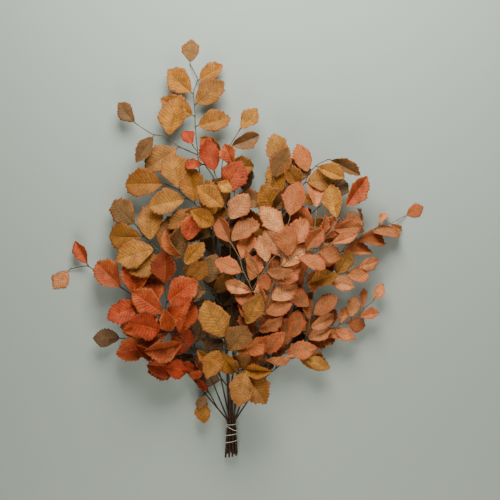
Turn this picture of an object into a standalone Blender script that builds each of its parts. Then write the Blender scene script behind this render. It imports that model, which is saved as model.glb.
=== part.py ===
"""A tied bunch of cut beech branches with dried autumn leaves, lying on its back.

Sizes and places are in millimetres and become metres when a mesh is made. The stems run
along +Y from their cut ends at y = 0, +X is to the right seen from above, and the surface
that the bunch lies on is z = 0. At the end the whole bunch moves so that its origin is the
middle of its underside.
"""

import math
import random
from collections import namedtuple

import bpy
from mathutils import Vector
from mathutils.bvhtree import BVHTree

MM = 0.001

# the bundle of bare stems and its tie
STEM_RADIUS = 1.6
TWIG_RADIUS = 1.2
TIP_RADIUS = 0.85
INNER_RING = 2.1
OUTER_RING = 5.8
SPLAY = 1.75
CUT_SPREAD = 9.0
TIE_FROM_ENDS = 58.0
TIE_LOOSE_END = 19.0
FOOT_RINGS = [TIE_FROM_ENDS - 4, TIE_FROM_ENDS + 5]
TIE_TURNS = 4
TIE_STEPS = 11
RING_PAST_NODE = 4.0
BARE_STEP = 85.0
TIE_RADIUS = 0.6
TIE_GAP = 0.35
# the bundle lies on the widest turn of its tie
TIE_SPREAD = 1 + (SPLAY - 1) * (1 - TIE_LOOSE_END / TIE_FROM_ENDS)
AXIS_HEIGHT = (OUTER_RING * TIE_SPREAD + STEM_RADIUS + TIE_GAP + 2 * TIE_RADIUS) * 1.03

# a leaf
BLADE_THICKNESS = 0.8
BLADE_WIDTH = {"ochre": 0.73, "rust": 0.74, "salmon": 0.65, "brown": 0.68}
PETIOLE = 5.0
PETIOLE_SINK = 0.3
# how far a blade lies over its twig, or under it, and how wide it opens from it
LIFT = {"ochre": 2.6, "rust": 2.6, "salmon": -2.4, "brown": 2.6}
OPEN_ANGLE = {"ochre": 55.0, "rust": 52.0, "salmon": 37.0, "brown": 48.0}
# how far a blade may turn about its midrib, in the widest of its trial places
ROLL = {"ochre": 30.0, "rust": 46.0, "salmon": 60.0, "brown": 40.0}
FOLDED_SHARE = 0.2
LEAN = 0.09
NODE_SPREAD = 0.75
ZIGZAG = 1.2
SMALL_LEAF = 46.0
WAVE = 0.85
TRIES = 36
FULL_SIZE_TRIES = 14

# room kept round each piece, how far twigs move to find it, where the bundle ends, and the
# height below which a twig's tip rests on the surface
CLEARANCE = 0.7
TABLE_CLEARANCE = 0.6
SHIFTS = (0, 3, -3, 6, -6, 9, -9, 12, -12)
BUNDLE_END = TIE_FROM_ENDS + 30
TWIG_FLOOR = 4.0
STEM_SIDES = 5
TWIG_SIDES = 3

# a stem: its leaves' kind, its place in the bundle, the seed of its draws and its twigs
Stem = namedtuple("Stem", "name finish ring angle seed twigs")
# a twig: its route, the length that bears leaves, how many, the side of the first one
# (1 is right of the way it grows), the lengths of the first leaf and the last, and how wide
# its leaves open as a share of the usual angle
Twig = namedtuple("Twig", "route leafy count side first last open", defaults=(1.0,))

STEMS = [
    Stem("salmon_stem_centre", "salmon", OUTER_RING, 70, 35, [
        Twig([(8, 105, 26), (22, 150, 44), (36, 200, 62), (46, 240, 74), (46, 267, 80),
              (28, 298, 84), (15, 333, 84), (2, 359, 82)], 170, 11, -1, 46, 46),
        Twig([(44, 232, 72), (60, 262, 82), (68, 296, 88), (78, 320, 91), (85, 339, 92),
              (88, 372, 91), (96, 401, 87)], 165, 11, 1, 48, 58),
        Twig([(77, 318, 90), (98, 338, 97), (123, 348, 96), (160, 360, 88)], 86, 6, 1, 46, 46),
        Twig([(36, 285, 83), (50, 310, 92), (62, 328, 97), (72, 341, 98)], 45, 4, -1, 42, 42),
    ]),
    Stem("rust_stem_centre", "rust", INNER_RING, 60, 13, [
        Twig([(0, 110, 18), (4, 185, 36), (2, 250, 52), (-1, 300, 62), (-2, 350, 70),
              (-5, 399, 76), (-12, 439, 78), (-26, 474, 76)], 118, 6, 1, 52, 54),
        Twig([(-4, 388, 75), (4, 430, 82), (9, 458, 82), (5, 484, 80)], 56, 4, 1, 44, 34),
        Twig([(-15, 445, 78), (-40, 488, 66), (-62, 520, 56)], 38, 3, -1, 30, 27),
    ]),
    Stem("ochre_stem_centre", "ochre", OUTER_RING, 110, 69, [
        Twig([(-3, 105, 28), (-4, 150, 50), (-6, 185, 66), (-10, 204, 74)], 50, 4, 1, 52, 66),
        Twig([(-4, 152, 51), (6, 180, 68), (16, 203, 77), (22, 226, 80)], 44, 3, 1, 50, 52),
        Twig([(-3, 118, 34), (8, 143, 52), (20, 157, 62), (28, 150, 66)], 38, 4, 1, 48, 56),
        Twig([(-6, 185, 66), (-14, 198, 75), (-18, 200, 79), (-19, 191, 82)], 1, 1, -1, 54, 54),
        Twig([(8, 143, 52), (15, 163, 66), (21, 166, 73), (22, 156, 77)], 1, 1, 1, 54, 54),
    ]),
    Stem("rust_stem_left", "rust", OUTER_RING, 150, 25, [
        Twig([(-20, 102, 20), (-46, 165, 38), (-65, 190, 46), (-87, 208, 52), (-101, 220, 55),
              (-108, 239, 57), (-106, 266, 58), (-109, 290, 58)], 105, 7, -1, 60, 58),
        Twig([(-105, 232, 56), (-129, 253, 54), (-159, 271, 47), (-180, 286, 40)],
             80, 5, -1, 58, 56),
        Twig([(-180, 286, 40), (-216, 304, 25), (-238, 321, 14), (-262, 326, 6), (-272, 318, 3.0)],
             38, 2, 1, 45, 39),
        Twig([(-83, 205, 51), (-98, 213, 60), (-112, 218, 65)], 24, 3, -1, 54, 62),
    ]),
    Stem("ochre_stem_left", "ochre", INNER_RING, 180, 4, [
        Twig([(-14, 110, 17), (-28, 185, 30), (-58, 267, 44), (-87, 317, 50), (-117, 347, 50),
              (-137, 365, 48), (-156, 390, 44)], 96, 8, -1, 62, 58),
        Twig([(-62, 275, 45), (-75, 305, 58), (-80, 330, 66), (-74, 362, 70)], 66, 5, 1, 50, 44),
    ]),
    Stem("ochre_stem_upper_left", "ochre", INNER_RING, 300, 69, [
        Twig([(-4, 110, 16), (-8, 185, 27), (-16, 262, 38), (-24, 341, 47), (-29, 376, 50),
              (-36, 403, 52), (-60, 425, 51), (-84, 446, 49), (-99, 456, 47), (-108, 459, 46)],
             126, 9, -1, 60, 64),
        Twig([(-28, 368, 49), (-25, 388, 57), (-26, 403, 61)], 22, 3, 1, 44, 60),
        Twig([(-16, 258, 37), (-34, 280, 46), (-44, 296, 51), (-54, 318, 54)], 48, 5, 1, 46, 54),
    ]),
    Stem("salmon_stem_right", "salmon", OUTER_RING, 30, 64, [
        Twig([(14, 105, 16), (50, 165, 28), (92, 230, 40), (130, 290, 48), (163, 332, 52),
              (193, 358, 48), (220, 375, 38), (244, 389, 25), (270, 396, 11), (292, 407, 3.0)],
             136, 8, 1, 56, 31, 0.55),
        Twig([(106, 254, 44), (124, 300, 58), (135, 345, 68), (138, 385, 71), (140, 415, 69)],
             140, 8, -1, 50, 50),
        Twig([(134, 340, 67), (158, 375, 73), (176, 400, 73), (186, 418, 71)], 70, 5, 1, 44, 60),
        Twig([(136, 298, 49), (160, 304, 56), (182, 310, 58), (206, 322, 55)], 66, 5, -1, 42, 38),
    ]),
    Stem("salmon_stem_low_right", "salmon", OUTER_RING, 350, 7, [
        Twig([(22, 100, 11), (60, 140, 17), (100, 175, 24), (140, 205, 30), (175, 222, 32),
              (200, 234, 31), (218, 248, 30), (236, 264, 28)], 136, 13, 1, 36, 30),
        Twig([(72, 151, 19), (86, 178, 36), (99, 200, 44)], 36, 4, -1, 48, 50),
        Twig([(92, 168, 23), (108, 173, 32), (119, 172, 35)], 12, 2, 1, 42, 46),
        Twig([(48, 130, 15), (50, 152, 30), (56, 176, 42)], 32, 4, 1, 46, 50),
        Twig([(118, 189, 27), (128, 220, 42), (133, 248, 52), (136, 275, 57)], 80, 7, 1, 42, 58),
        Twig([(56, 136, 16), (68, 175, 32), (78, 215, 44), (84, 255, 50)], 104, 7, -1, 44, 42),
    ]),
    Stem("rust_stem_low_left", "rust", OUTER_RING, 190, 63, [
        Twig([(-20, 114, 12), (-48, 146, 16), (-80, 156, 20), (-103, 180, 24), (-124, 188, 25),
              (-150, 195, 24), (-167, 199, 22), (-182, 202, 20)], 112, 7, -1, 54, 44, 0.8),
        Twig([(-52, 147, 16), (-66, 150, 26), (-80, 154, 31)], 18, 2, -1, 46, 60),
        Twig([(-13, 92, 11), (-28, 108, 14), (-40, 113, 15), (-48, 109, 15), (-50, 101, 15)],
             22, 3, 1, 24, 36, 0.7),
        Twig([(-38, 134, 14), (-46, 142, 24), (-57, 146, 28)], 16, 3, -1, 28, 28),
    ]),
    Stem("ochre_stem_tall", "ochre", OUTER_RING, 230, 11, [
        Twig([(-6, 110, 8), (-10, 185, 14), (-17, 267, 22), (-28, 350, 30), (-41, 408, 34),
              (-54, 450, 36), (-52, 474, 36), (-68, 509, 34), (-64, 545, 30), (-59, 579, 24),
              (-65, 605, 17), (-57, 637, 9), (-69, 656, 4.4), (-70, 664, 3.0)], 118, 6, 1, 57, 37),
        Twig([(-66, 507, 34), (-86, 522, 33), (-111, 540, 32), (-137, 544, 30), (-145, 545, 29),
              (-158, 560, 27)], 86, 4, -1, 62, 40),
        Twig([(-27, 346, 30), (-20, 395, 38), (-14, 439, 42), (-20, 471, 43), (-12, 503, 43),
              (-2, 525, 42), (6, 535, 41), (13, 547, 40)], 70, 4, 1, 50, 44),
    ]),
    Stem("ochre_stem_upper_right", "ochre", OUTER_RING, 310, 33, [
        Twig([(5, 110, 8), (18, 185, 16), (36, 267, 26), (58, 340, 36), (78, 400, 44),
              (92, 440, 48), (90, 462, 50), (84, 482, 50)], 130, 8, 1, 58, 56),
        Twig([(73, 386, 42), (64, 420, 52), (62, 445, 55), (68, 466, 55)], 70, 5, -1, 54, 50),
        Twig([(80, 405, 45), (105, 430, 56), (120, 460, 60), (138, 488, 60), (152, 499, 59),
              (160, 499, 58)],
             100, 7, -1, 46, 50),
        Twig([(60, 345, 37), (95, 380, 48), (131, 407, 54), (150, 425, 53)], 60, 4, -1, 60, 62),
    ]),
    Stem("brown_stem_back", "brown", OUTER_RING, 270, 59, [
        Twig([(0, 110, 5), (4, 185, 9), (10, 260, 13), (20, 330, 16), (26, 400, 17),
              (22, 442, 17)], 240, 8, 1, 54, 44),
        Twig([(11, 268, 13), (-12, 310, 16), (-28, 340, 18)], 50, 3, -1, 48, 46),
        Twig([(-1, 112, 5), (-20, 138, 5), (-42, 163, 10), (-62, 187, 14), (-76, 212, 17)],
             104, 7, -1, 46, 46),
        Twig([(3, 172, 8), (-8, 215, 16), (-18, 252, 21), (-26, 282, 24)], 100, 6, 1, 48, 48),
        Twig([(2, 118, 6), (16, 142, 6), (32, 165, 9), (42, 190, 13)], 70, 5, 1, 44, 46),
        Twig([(2, 150, 7), (30, 182, 9), (66, 214, 14), (100, 242, 19)], 96, 6, 1, 48, 48),
    ]),
]

# the finish of each kind: colour, roughness
FINISHES = {
    "ochre": ((0.48, 0.22, 0.05, 1.0), 0.6),
    "rust": ((0.42, 0.06, 0.015, 1.0), 0.6),
    "salmon": ((0.58, 0.21, 0.11, 1.0), 0.6),
    "brown": ((0.24, 0.11, 0.035, 1.0), 0.65),
    "cord": ((0.75, 0.72, 0.65, 1.0), 0.7),
}


def spine(points, step=5.0):
    """A smooth line through the points, as points about one step apart."""
    points = [Vector(p) for p in points]
    ends = [2 * points[0] - points[1], 2 * points[-1] - points[-2]]
    padded = [ends[0]] + points + [ends[1]]
    line = []
    for a, b, c, d in zip(padded, padded[1:], padded[2:], padded[3:]):
        steps = max(2, round((c - b).length / step))
        for i in range(steps):
            t = i / steps
            line.append(0.5 * (2 * b + (c - a) * t + (2 * a - 5 * b + 4 * c - d) * t ** 2
                               + (3 * b - a - 3 * c + d) * t ** 3))
    return line + [points[-1]]


def distances(line):
    """How far along the line each of its points is."""
    run = [0.0]
    for a, b in zip(line, line[1:]):
        run.append(run[-1] + (b - a).length)
    return run


def place_on(line, run, distance):
    """The point at a distance along the line, and the way the line heads there."""
    i = 0
    while i < len(run) - 2 and run[i + 1] < distance:
        i += 1
    way = (line[i + 1] - line[i]).normalized()
    return line[i] + way * (distance - run[i]), way


def nearest_on(path, point):
    """The point of a path that is nearest to another point."""
    best = path[0]
    for a, b in zip(path, path[1:]):
        share = min(1.0, max(0.0, (point - a).dot(b - a) / (b - a).length_squared))
        near = a.lerp(b, share)
        if (near - point).length < (best - point).length:
            best = near
    return best


def upright(way):
    """The direction square to a twig that points most nearly up."""
    up = Vector((0, 0, 1))
    return (up - way * up.dot(way)).normalized()


def bundle_point(ring, angle, y):
    """Where a stem crosses the bundle: tightest at the tie, spread at the cut ends."""
    spread = 1 + (SPLAY - 1) * max(0.0, TIE_FROM_ENDS - y) / TIE_FROM_ENDS
    turn = math.radians(angle)
    return Vector((ring * spread * math.cos(turn), y,
                   AXIS_HEIGHT + ring * spread * math.sin(turn)))


def stem_route(stem):
    """The main twig's route, with the stem's bare foot below it, cut a little higher or lower."""
    cut = random.Random(stem.angle).uniform(0, CUT_SPREAD)
    foot = [bundle_point(stem.ring, stem.angle, y) for y in [cut] + FOOT_RINGS]
    return foot + [Vector(p) for p in stem.twigs[0].route]


def nodes_of(line, run, twig):
    """The leaf nodes, wider apart towards the tip: distance, side and leaf length each."""
    gaps = max(1, twig.count - 1)
    nodes = []
    for k in range(twig.count):
        left = (gaps - k) / gaps if twig.count > 1 else 0.0
        along = run[-1] - twig.leafy * left ** NODE_SPREAD
        taper = math.cos(0.5 * math.pi * k / gaps) ** 0.7 if k < gaps else 0.0
        side = twig.side if k % 2 == 0 else -twig.side
        nodes.append((along, side, twig.last + (twig.first - twig.last) * taper))
    return nodes


def tube(path, radii, sides):
    """A closed tube along a path, as vertices and faces."""
    vertices, faces = [], []
    for i, point in enumerate(path):
        way = (path[min(i + 1, len(path) - 1)] - path[max(i - 1, 0)]).normalized()
        up = upright(way)
        across = way.cross(up)
        for k in range(sides):
            turn = 2 * math.pi * k / sides
            vertices.append(point + radii[i] * (math.cos(turn) * up + math.sin(turn) * across))
    for i in range(len(path) - 1):
        for k in range(sides):
            a, b = i * sides + k, i * sides + (k + 1) % sides
            faces.append((a, b, b + sides))
            faces.append((a, b + sides, a + sides))
    last = (len(path) - 1) * sides
    for k in range(1, sides - 1):
        faces.append((0, k + 1, k))
        faces.append((last, last + k, last + k + 1))
    return vertices, faces


# half of a leaf's edge, from its foot to near its tip: how far along and how wide, as shares
EDGE = [(0.0, 0.06), (0.1, 0.44), (0.34, 0.9), (0.6, 0.97), (0.84, 0.52)]
SMALL_EDGE = [(0.0, 0.08), (0.15, 0.54), (0.5, 1.0), (0.82, 0.56)]
RIB = [0.45]

# a leaf's place: the twig's axis where it roots, the foot of its blade, its right, its way,
# its face, its length, its width as a share, how deep it is folded, how its tip curls, how
# far the tip leans to a side as a share of the length, and how far its edge waves
Leaf = namedtuple("Leaf", "root foot right way face length width fold curl lean wave")


def blade_point(leaf, across, along, lift):
    """A point of the blade: across in shares of the half width, along in shares of the length."""
    bend = leaf.curl * along
    if abs(leaf.curl) > 0.01:
        run = leaf.length * math.sin(bend) / leaf.curl
        drop = leaf.length * (1 - math.cos(bend)) / leaf.curl
    else:
        run, drop = leaf.length * along, 0.0
    out = across * 0.5 * leaf.width * leaf.length
    face = leaf.face * math.cos(bend) + leaf.way * math.sin(bend)
    side = out * math.cos(leaf.fold) + leaf.lean * leaf.length * along ** 2
    return (leaf.foot + leaf.way * run - leaf.face * drop + leaf.right * side
            + face * (abs(out) * math.sin(leaf.fold) + lift))


def zip_strip(rib, edge):
    """Triangles between the rib and an edge: lists of (share along, vertex number)."""
    triangles = []
    i = j = 0
    while i < len(rib) - 1 or j < len(edge) - 1:
        step_rib = j == len(edge) - 1 or (i < len(rib) - 1 and rib[i + 1][0] < edge[j + 1][0])
        if step_rib:
            triangles.append((rib[i][1], rib[i + 1][1], edge[j][1]))
            i += 1
        else:
            triangles.append((rib[i][1], edge[j + 1][1], edge[j][1]))
            j += 1
    return triangles


def leaf_solid(leaf, thickness=BLADE_THICKNESS, margin=0.0):
    """The leaf as a closed slab: petiole, blade and the same triangles on both faces."""
    half_edge = SMALL_EDGE if leaf.length < SMALL_LEAF else EDGE
    widen = 1 + margin / (0.5 * leaf.width * leaf.length)
    half = 0.5 * thickness
    count = len(half_edge)
    waves = [0.0] + [leaf.wave * (-1) ** i for i in range(1, count)]
    edge = [(s, w * widen, wave) for (s, w), wave in zip(half_edge, waves)]
    layers = []
    for lift in (half, -half):
        layer = [leaf.root + leaf.face * lift]
        layer += [blade_point(leaf, -w, s, lift + wave) for s, w, wave in edge]
        layer.append(blade_point(leaf, 0.0, 1.0 + margin / leaf.length, lift))
        layer += [blade_point(leaf, w, s, lift - wave) for s, w, wave in reversed(edge)]
        layer += [blade_point(leaf, 0.0, s, lift) for s in RIB]
        layers.append(layer)
    tip = count + 1
    shares = [s for s, w in half_edge]
    left = list(zip(shares, range(1, count + 1))) + [(1.0, tip)]
    right = list(zip(shares, range(2 * count + 1, tip, -1))) + [(1.0, tip)]
    rib = [(s, 2 * count + 2 + i) for i, s in enumerate(RIB)] + [(1.0, tip)]
    face = [(0, 2 * count + 1, 1)]
    # the foot of the blade closes on the first rib point
    face.append((1, 2 * count + 1, rib[0][1]))
    face += [(a, b, c) for a, b, c in zip_strip(rib, left) if len({a, b, c}) == 3]
    face += [(a, c, b) for a, b, c in zip_strip(rib, right) if len({a, b, c}) == 3]
    size = len(layers[0])
    faces = list(face) + [(a + size, c + size, b + size) for a, b, c in face]
    border = 2 * count + 2
    for i in range(border):
        j = (i + 1) % border
        faces.append((i, j, j + size))
        faces.append((i, j + size, i + size))
    return layers[0] + layers[1], faces


def box_of(vertices, room=0.0):
    """The lowest and highest corner round some points."""
    low = Vector([min(v[k] for v in vertices) - room for k in range(3)])
    high = Vector([max(v[k] for v in vertices) + room for k in range(3)])
    return low, high


class Space:
    """What has been placed so far, so that the next piece can be kept clear of it."""

    def __init__(self):
        self.pieces = []

    def add(self, owner, vertices, faces):
        low, high = box_of(vertices)
        self.pieces.append((owner, low, high, BVHTree.FromPolygons(vertices, faces)))

    def blocked(self, vertices, faces, skip=()):
        """Whether a solid crosses anything but the pieces of the owners named in skip."""
        low, high = box_of(vertices)
        tree = None
        for owner, other_low, other_high, other_tree in self.pieces:
            if owner in skip or any(low[k] > other_high[k] or high[k] < other_low[k]
                                    for k in range(3)):
                continue
            if tree is None:
                tree = BVHTree.FromPolygons(vertices, faces)
            if tree.overlap(other_tree):
                return True
        return False


def twig_path(line, run, twig, is_stem):
    """The tube's points: a bare run, then the nodes, each set a little to its leaf's side."""
    nodes = nodes_of(line, run, twig)
    bare = max(nodes[0][0] - 8.0, 0.0)
    path = [line[0]]
    start = 0.0
    if is_stem:
        for y in FOOT_RINGS:
            start = next(d for p, d in zip(line, run) if p.y >= y - 0.01)
            path.append(place_on(line, run, start)[0])
    steps = max(1, round((bare - start) / BARE_STEP))
    path += [place_on(line, run, start + (bare - start) * i / steps)[0] for i in range(1, steps)]
    for along, side, length in nodes[:-1]:
        point, way = place_on(line, run, along + RING_PAST_NODE)
        path.append(point + way.cross(upright(way)) * side * ZIGZAG)
    return path + [line[-1]]


def grow_twigs(stem, space):
    """Each twig's line and tube, moved up or down where it would cross another stem."""
    grown = []
    for number, twig in enumerate(stem.twigs):
        route = stem_route(stem) if number == 0 else [Vector(p) for p in twig.route]
        if number:
            route[0] = min((nearest_on(path, route[0]) for line, run, path, radii in grown),
                           key=lambda p: (p - route[0]).length)
        fixed = len(FOOT_RINGS) + 1 if number == 0 else 1
        end = len(route) - (1 if route[-1].z < TWIG_FLOOR else 0)
        for shift in SHIFTS:
            moved = [p.copy() for p in route]
            for p in moved[fixed:end]:
                p.z = max(p.z + shift, TWIG_FLOOR)
            line = spine(moved)
            run = distances(line)
            path = twig_path(line, run, twig, number == 0)
            start = STEM_RADIUS if number == 0 else TWIG_RADIUS
            lengths = distances(path)
            radii = [start + (TIP_RADIUS - start) * d / lengths[-1] for d in lengths]
            free = [(p, r + CLEARANCE) for p, r in zip(path, radii) if p.y > BUNDLE_END]
            roomy = tube([p for p, r in free], [r for p, r in free], STEM_SIDES)
            if not space.blocked(*roomy, skip=(stem.name,)):
                break
        else:
            print(stem.name, "twig", number, "found no clear height")
        grown.append((line, run, path, radii))
        space.add(stem.name, *tube(path, radii, STEM_SIDES))
    return grown


def settle_leaf(root, way, up, opening, length, finish, terminal, draws, k):
    """One trial place for a leaf: the first is the plain rule, later ones stray further."""
    lift = LIFT[finish]
    stray = min(1.0, 0.35 + 0.09 * k)
    turn = math.radians(draws.uniform(-11, 11) * (1 + stray))
    if not terminal:
        turn += math.radians(OPEN_ANGLE[finish]) * opening
    tilt = math.radians(draws.uniform(-16, 16) * stray + math.copysign(6, lift))
    roll = math.radians(draws.uniform(-1, 1) * ROLL[finish] * stray)
    across = way.cross(up)
    heading = way * math.cos(turn) + across * math.sin(turn)
    heading = (heading * math.cos(tilt) + up * math.sin(tilt)).normalized()
    right = heading.cross(up).normalized()
    face = right.cross(heading)
    right, face = (right * math.cos(roll) - face * math.sin(roll),
                   face * math.cos(roll) + right * math.sin(roll))
    fold = math.radians(draws.uniform(4, 24) + (20 if draws.random() < FOLDED_SHARE else 0))
    curl = math.radians(draws.uniform(-16, 38))
    foot = root + heading * PETIOLE + face * (0.25 * lift if terminal else lift)
    return Leaf(root - heading * PETIOLE_SINK, foot, right, heading, face, length,
                BLADE_WIDTH[finish] * draws.uniform(0.92, 1.08), fold, curl,
                draws.uniform(-LEAN, LEAN), WAVE)


def flat_leaf(root, way, length, finish):
    """A leaf that lies flat on the surface and carries the twig's tip."""
    heading = Vector((way.x, way.y, 0)).normalized()
    face = Vector((0, 0, 1))
    foot = root + heading * PETIOLE
    foot.z = 0.5 * BLADE_THICKNESS
    return Leaf(root - heading * PETIOLE_SINK, foot, heading.cross(face), heading, face,
                length, BLADE_WIDTH[finish], 0.0, 0.0, 0.0, 0.0)


def grow_leaves(stem, grown, space):
    """The leaves of one stem: one at each node, on alternate sides, one on each tip."""
    draws = random.Random(stem.seed)
    leaves = []
    for (line, run, path, radii), twig in zip(grown, stem.twigs):
        nodes = nodes_of(line, run, twig)
        for number, (along, side, length) in reversed(list(enumerate(nodes))):
            terminal = number == len(nodes) - 1
            way = place_on(line, run, along)[1]
            root = path[-1] if terminal else nearest_on(path, place_on(line, run, along)[0])
            up = upright(way)
            if terminal and root.z < TWIG_FLOOR:
                leaf = flat_leaf(root, way, length, stem.finish)
                leaves.append(leaf)
                space.add(stem.name, *leaf_solid(leaf))
                continue
            for k in range(TRIES):
                size = length * draws.uniform(0.95, 1.09) * 0.97 ** max(0, k - FULL_SIZE_TRIES)
                leaf = settle_leaf(root, way, up, side * twig.open, size, stem.finish, terminal,
                                   draws, k)
                points, faces = leaf_solid(leaf, BLADE_THICKNESS + 2 * CLEARANCE, CLEARANCE)
                if min(v.z for v in points) < TABLE_CLEARANCE:
                    continue
                if space.blocked(points, faces, skip=(stem.name,)):
                    continue
                # the petiole meets its own twig, so only the blade has to clear its own stem
                blade = [f for f in faces if 0 not in f and len(points) // 2 not in f]
                if not space.blocked(points, blade):
                    leaves.append(leaf)
                    space.add(stem.name, *leaf_solid(leaf))
                    break
    return leaves


def material(finish):
    """The finish's material, made once."""
    found = bpy.data.materials.get(finish)
    if found:
        return found
    made = bpy.data.materials.new(finish)
    made.use_nodes = True
    shader = made.node_tree.nodes["Principled BSDF"]
    colour, roughness = FINISHES[finish]
    shader.inputs["Base Color"].default_value = colour
    shader.inputs["Roughness"].default_value = roughness
    shader.inputs["Metallic"].default_value = 0.0
    return made


def add_object(name, vertices, faces, collection):
    """A mesh object from points in millimetres."""
    mesh = bpy.data.meshes.new(name)
    mesh.from_pydata([v * MM for v in vertices], [], faces)
    mesh.update()
    made = bpy.data.objects.new(name, mesh)
    collection.objects.link(made)
    return made


def join_solids(name, solids, finish):
    """One body from the first solid and all the others, by a single Boolean union."""
    scene = bpy.context.scene.collection
    body = add_object(name, *solids[0], scene)
    extras = bpy.data.collections.new(name + "_parts")
    scene.children.link(extras)
    for number, (vertices, faces) in enumerate(solids[1:]):
        add_object(f"{name}_part_{number}", vertices, faces, extras)
    union = body.modifiers.new("union", "BOOLEAN")
    union.operation = "UNION"
    union.operand_type = "COLLECTION"
    union.collection = extras
    union.solver = "MANIFOLD"
    bpy.context.view_layer.objects.active = body
    bpy.ops.object.modifier_apply(modifier=union.name)
    for part in list(extras.objects):
        bpy.data.objects.remove(part)
    bpy.data.collections.remove(extras)
    body.data.materials.clear()
    body.data.materials.append(material(finish))
    return body


def tie_path():
    """The cord's line: turns round the bundle, tight at the waist and loose below it."""
    start, end = TIE_FROM_ENDS, TIE_LOOSE_END
    steps = TIE_TURNS * TIE_STEPS
    path = []
    for i in range(steps + 1):
        t = i / steps
        y = start + (end - start) * t ** 1.4
        turn = 2 * math.pi * TIE_TURNS * t
        spread = 1 + (SPLAY - 1) * max(0.0, TIE_FROM_ENDS - y) / TIE_FROM_ENDS
        clear = OUTER_RING * spread + STEM_RADIUS + TIE_GAP + TIE_RADIUS
        radius = clear / math.cos(math.pi / TIE_STEPS)
        path.append(Vector((radius * math.cos(turn), y, AXIS_HEIGHT + radius * math.sin(turn))))
    return path


def main():
    for old in list(bpy.data.objects):
        bpy.data.objects.remove(old)
    scene = bpy.context.scene.collection
    space = Space()
    grown = {stem.name: grow_twigs(stem, space) for stem in STEMS}
    made = []
    for stem in STEMS:
        leaves = grow_leaves(stem, grown[stem.name], space)
        solids = [tube(path, radii, TWIG_SIDES if number else STEM_SIDES)
                  for number, (line, run, path, radii) in enumerate(grown[stem.name])]
        solids += [leaf_solid(leaf) for leaf in leaves]
        made.append(join_solids(stem.name, solids, stem.finish))
        print(stem.name, len(leaves), "leaves", len(made[-1].data.polygons), "faces")
    path = tie_path()
    cord = add_object("tie", *tube(path, [TIE_RADIUS] * len(path), 3), scene)
    cord.data.materials.append(material("cord"))
    made.append(cord)
    corners = [obj.matrix_world @ v.co for obj in made for v in obj.data.vertices]
    low, high = box_of(corners)
    bunch = bpy.data.objects.new("bunch", None)
    scene.objects.link(bunch)
    for obj in made:
        obj.parent = bunch
    bunch.location = (-0.5 * (low.x + high.x), -0.5 * (low.y + high.y), -low.z)


main()
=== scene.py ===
"""A tied bunch of dried beech branches that lies on its back, dressed for a studio picture.

The solids give each leafy stem as coarse slabs and tubes. This script grows the same twigs and
leaves by the same rule, and puts a finer leaf, twig and cord where each coarse one is. Sizes in
the sections are millimetres until a mesh is made, and +Y runs along the stems to the tip.
"""

import math
import random
from collections import namedtuple

import bpy
import numpy as np
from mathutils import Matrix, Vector
from mathutils.bvhtree import BVHTree


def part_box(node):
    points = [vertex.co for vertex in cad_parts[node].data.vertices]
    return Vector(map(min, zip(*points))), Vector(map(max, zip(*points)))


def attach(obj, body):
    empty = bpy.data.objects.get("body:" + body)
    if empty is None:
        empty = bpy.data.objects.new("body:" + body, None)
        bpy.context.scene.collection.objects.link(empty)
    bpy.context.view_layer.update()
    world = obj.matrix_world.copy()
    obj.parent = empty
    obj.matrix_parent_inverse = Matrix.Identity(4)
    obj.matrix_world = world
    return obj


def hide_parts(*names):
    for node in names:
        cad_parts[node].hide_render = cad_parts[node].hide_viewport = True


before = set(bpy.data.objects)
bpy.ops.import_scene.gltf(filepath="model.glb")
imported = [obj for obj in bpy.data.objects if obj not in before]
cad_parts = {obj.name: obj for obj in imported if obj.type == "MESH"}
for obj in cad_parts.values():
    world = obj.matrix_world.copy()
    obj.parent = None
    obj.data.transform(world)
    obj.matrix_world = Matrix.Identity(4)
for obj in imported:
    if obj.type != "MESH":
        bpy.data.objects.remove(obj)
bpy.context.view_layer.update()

# The branches as they grew
# Twelve young beech stems were cut, stripped at the foot and gathered in the hand. Each stem
# bends out of the bundle, carries side twigs, and bears a leaf at each node on alternate sides.
MM = 0.001

# the bundle of bare stems and its tie
STEM_RADIUS = 1.6
TWIG_RADIUS = 1.2
TIP_RADIUS = 0.85
INNER_RING = 2.1
OUTER_RING = 5.8
SPLAY = 1.75
CUT_SPREAD = 9.0
TIE_FROM_ENDS = 58.0
TIE_LOOSE_END = 19.0
FOOT_RINGS = [TIE_FROM_ENDS - 4, TIE_FROM_ENDS + 5]
TIE_TURNS = 4
TIE_STEPS = 11
RING_PAST_NODE = 4.0
SPINE_STEP = 5.0
BARE_STEP = 85.0
TIE_RADIUS = 0.6
TIE_GAP = 0.35
# the bundle lies on the widest turn of its tie
TIE_SPREAD = 1 + (SPLAY - 1) * (1 - TIE_LOOSE_END / TIE_FROM_ENDS)
AXIS_HEIGHT = (OUTER_RING * TIE_SPREAD + STEM_RADIUS + TIE_GAP + 2 * TIE_RADIUS) * 1.03

# a leaf
BLADE_THICKNESS = 0.8
BLADE_WIDTH = {"ochre": 0.73, "rust": 0.74, "salmon": 0.65, "brown": 0.68}
PETIOLE = 5.0
PETIOLE_SINK = 0.3
# how far a blade lies over its twig, or under it, and how wide it opens from it
LIFT = {"ochre": 2.6, "rust": 2.6, "salmon": -2.4, "brown": 2.6}
OPEN_ANGLE = {"ochre": 55.0, "rust": 52.0, "salmon": 37.0, "brown": 48.0}
# how far a blade may turn about its midrib, in the widest of its trial places
ROLL = {"ochre": 30.0, "rust": 46.0, "salmon": 60.0, "brown": 40.0}
FOLDED_SHARE = 0.2
LEAN = 0.09
NODE_SPREAD = 0.75
ZIGZAG = 1.2
SMALL_LEAF = 46.0
WAVE = 0.85
TRIES = 36
FULL_SIZE_TRIES = 14

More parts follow.
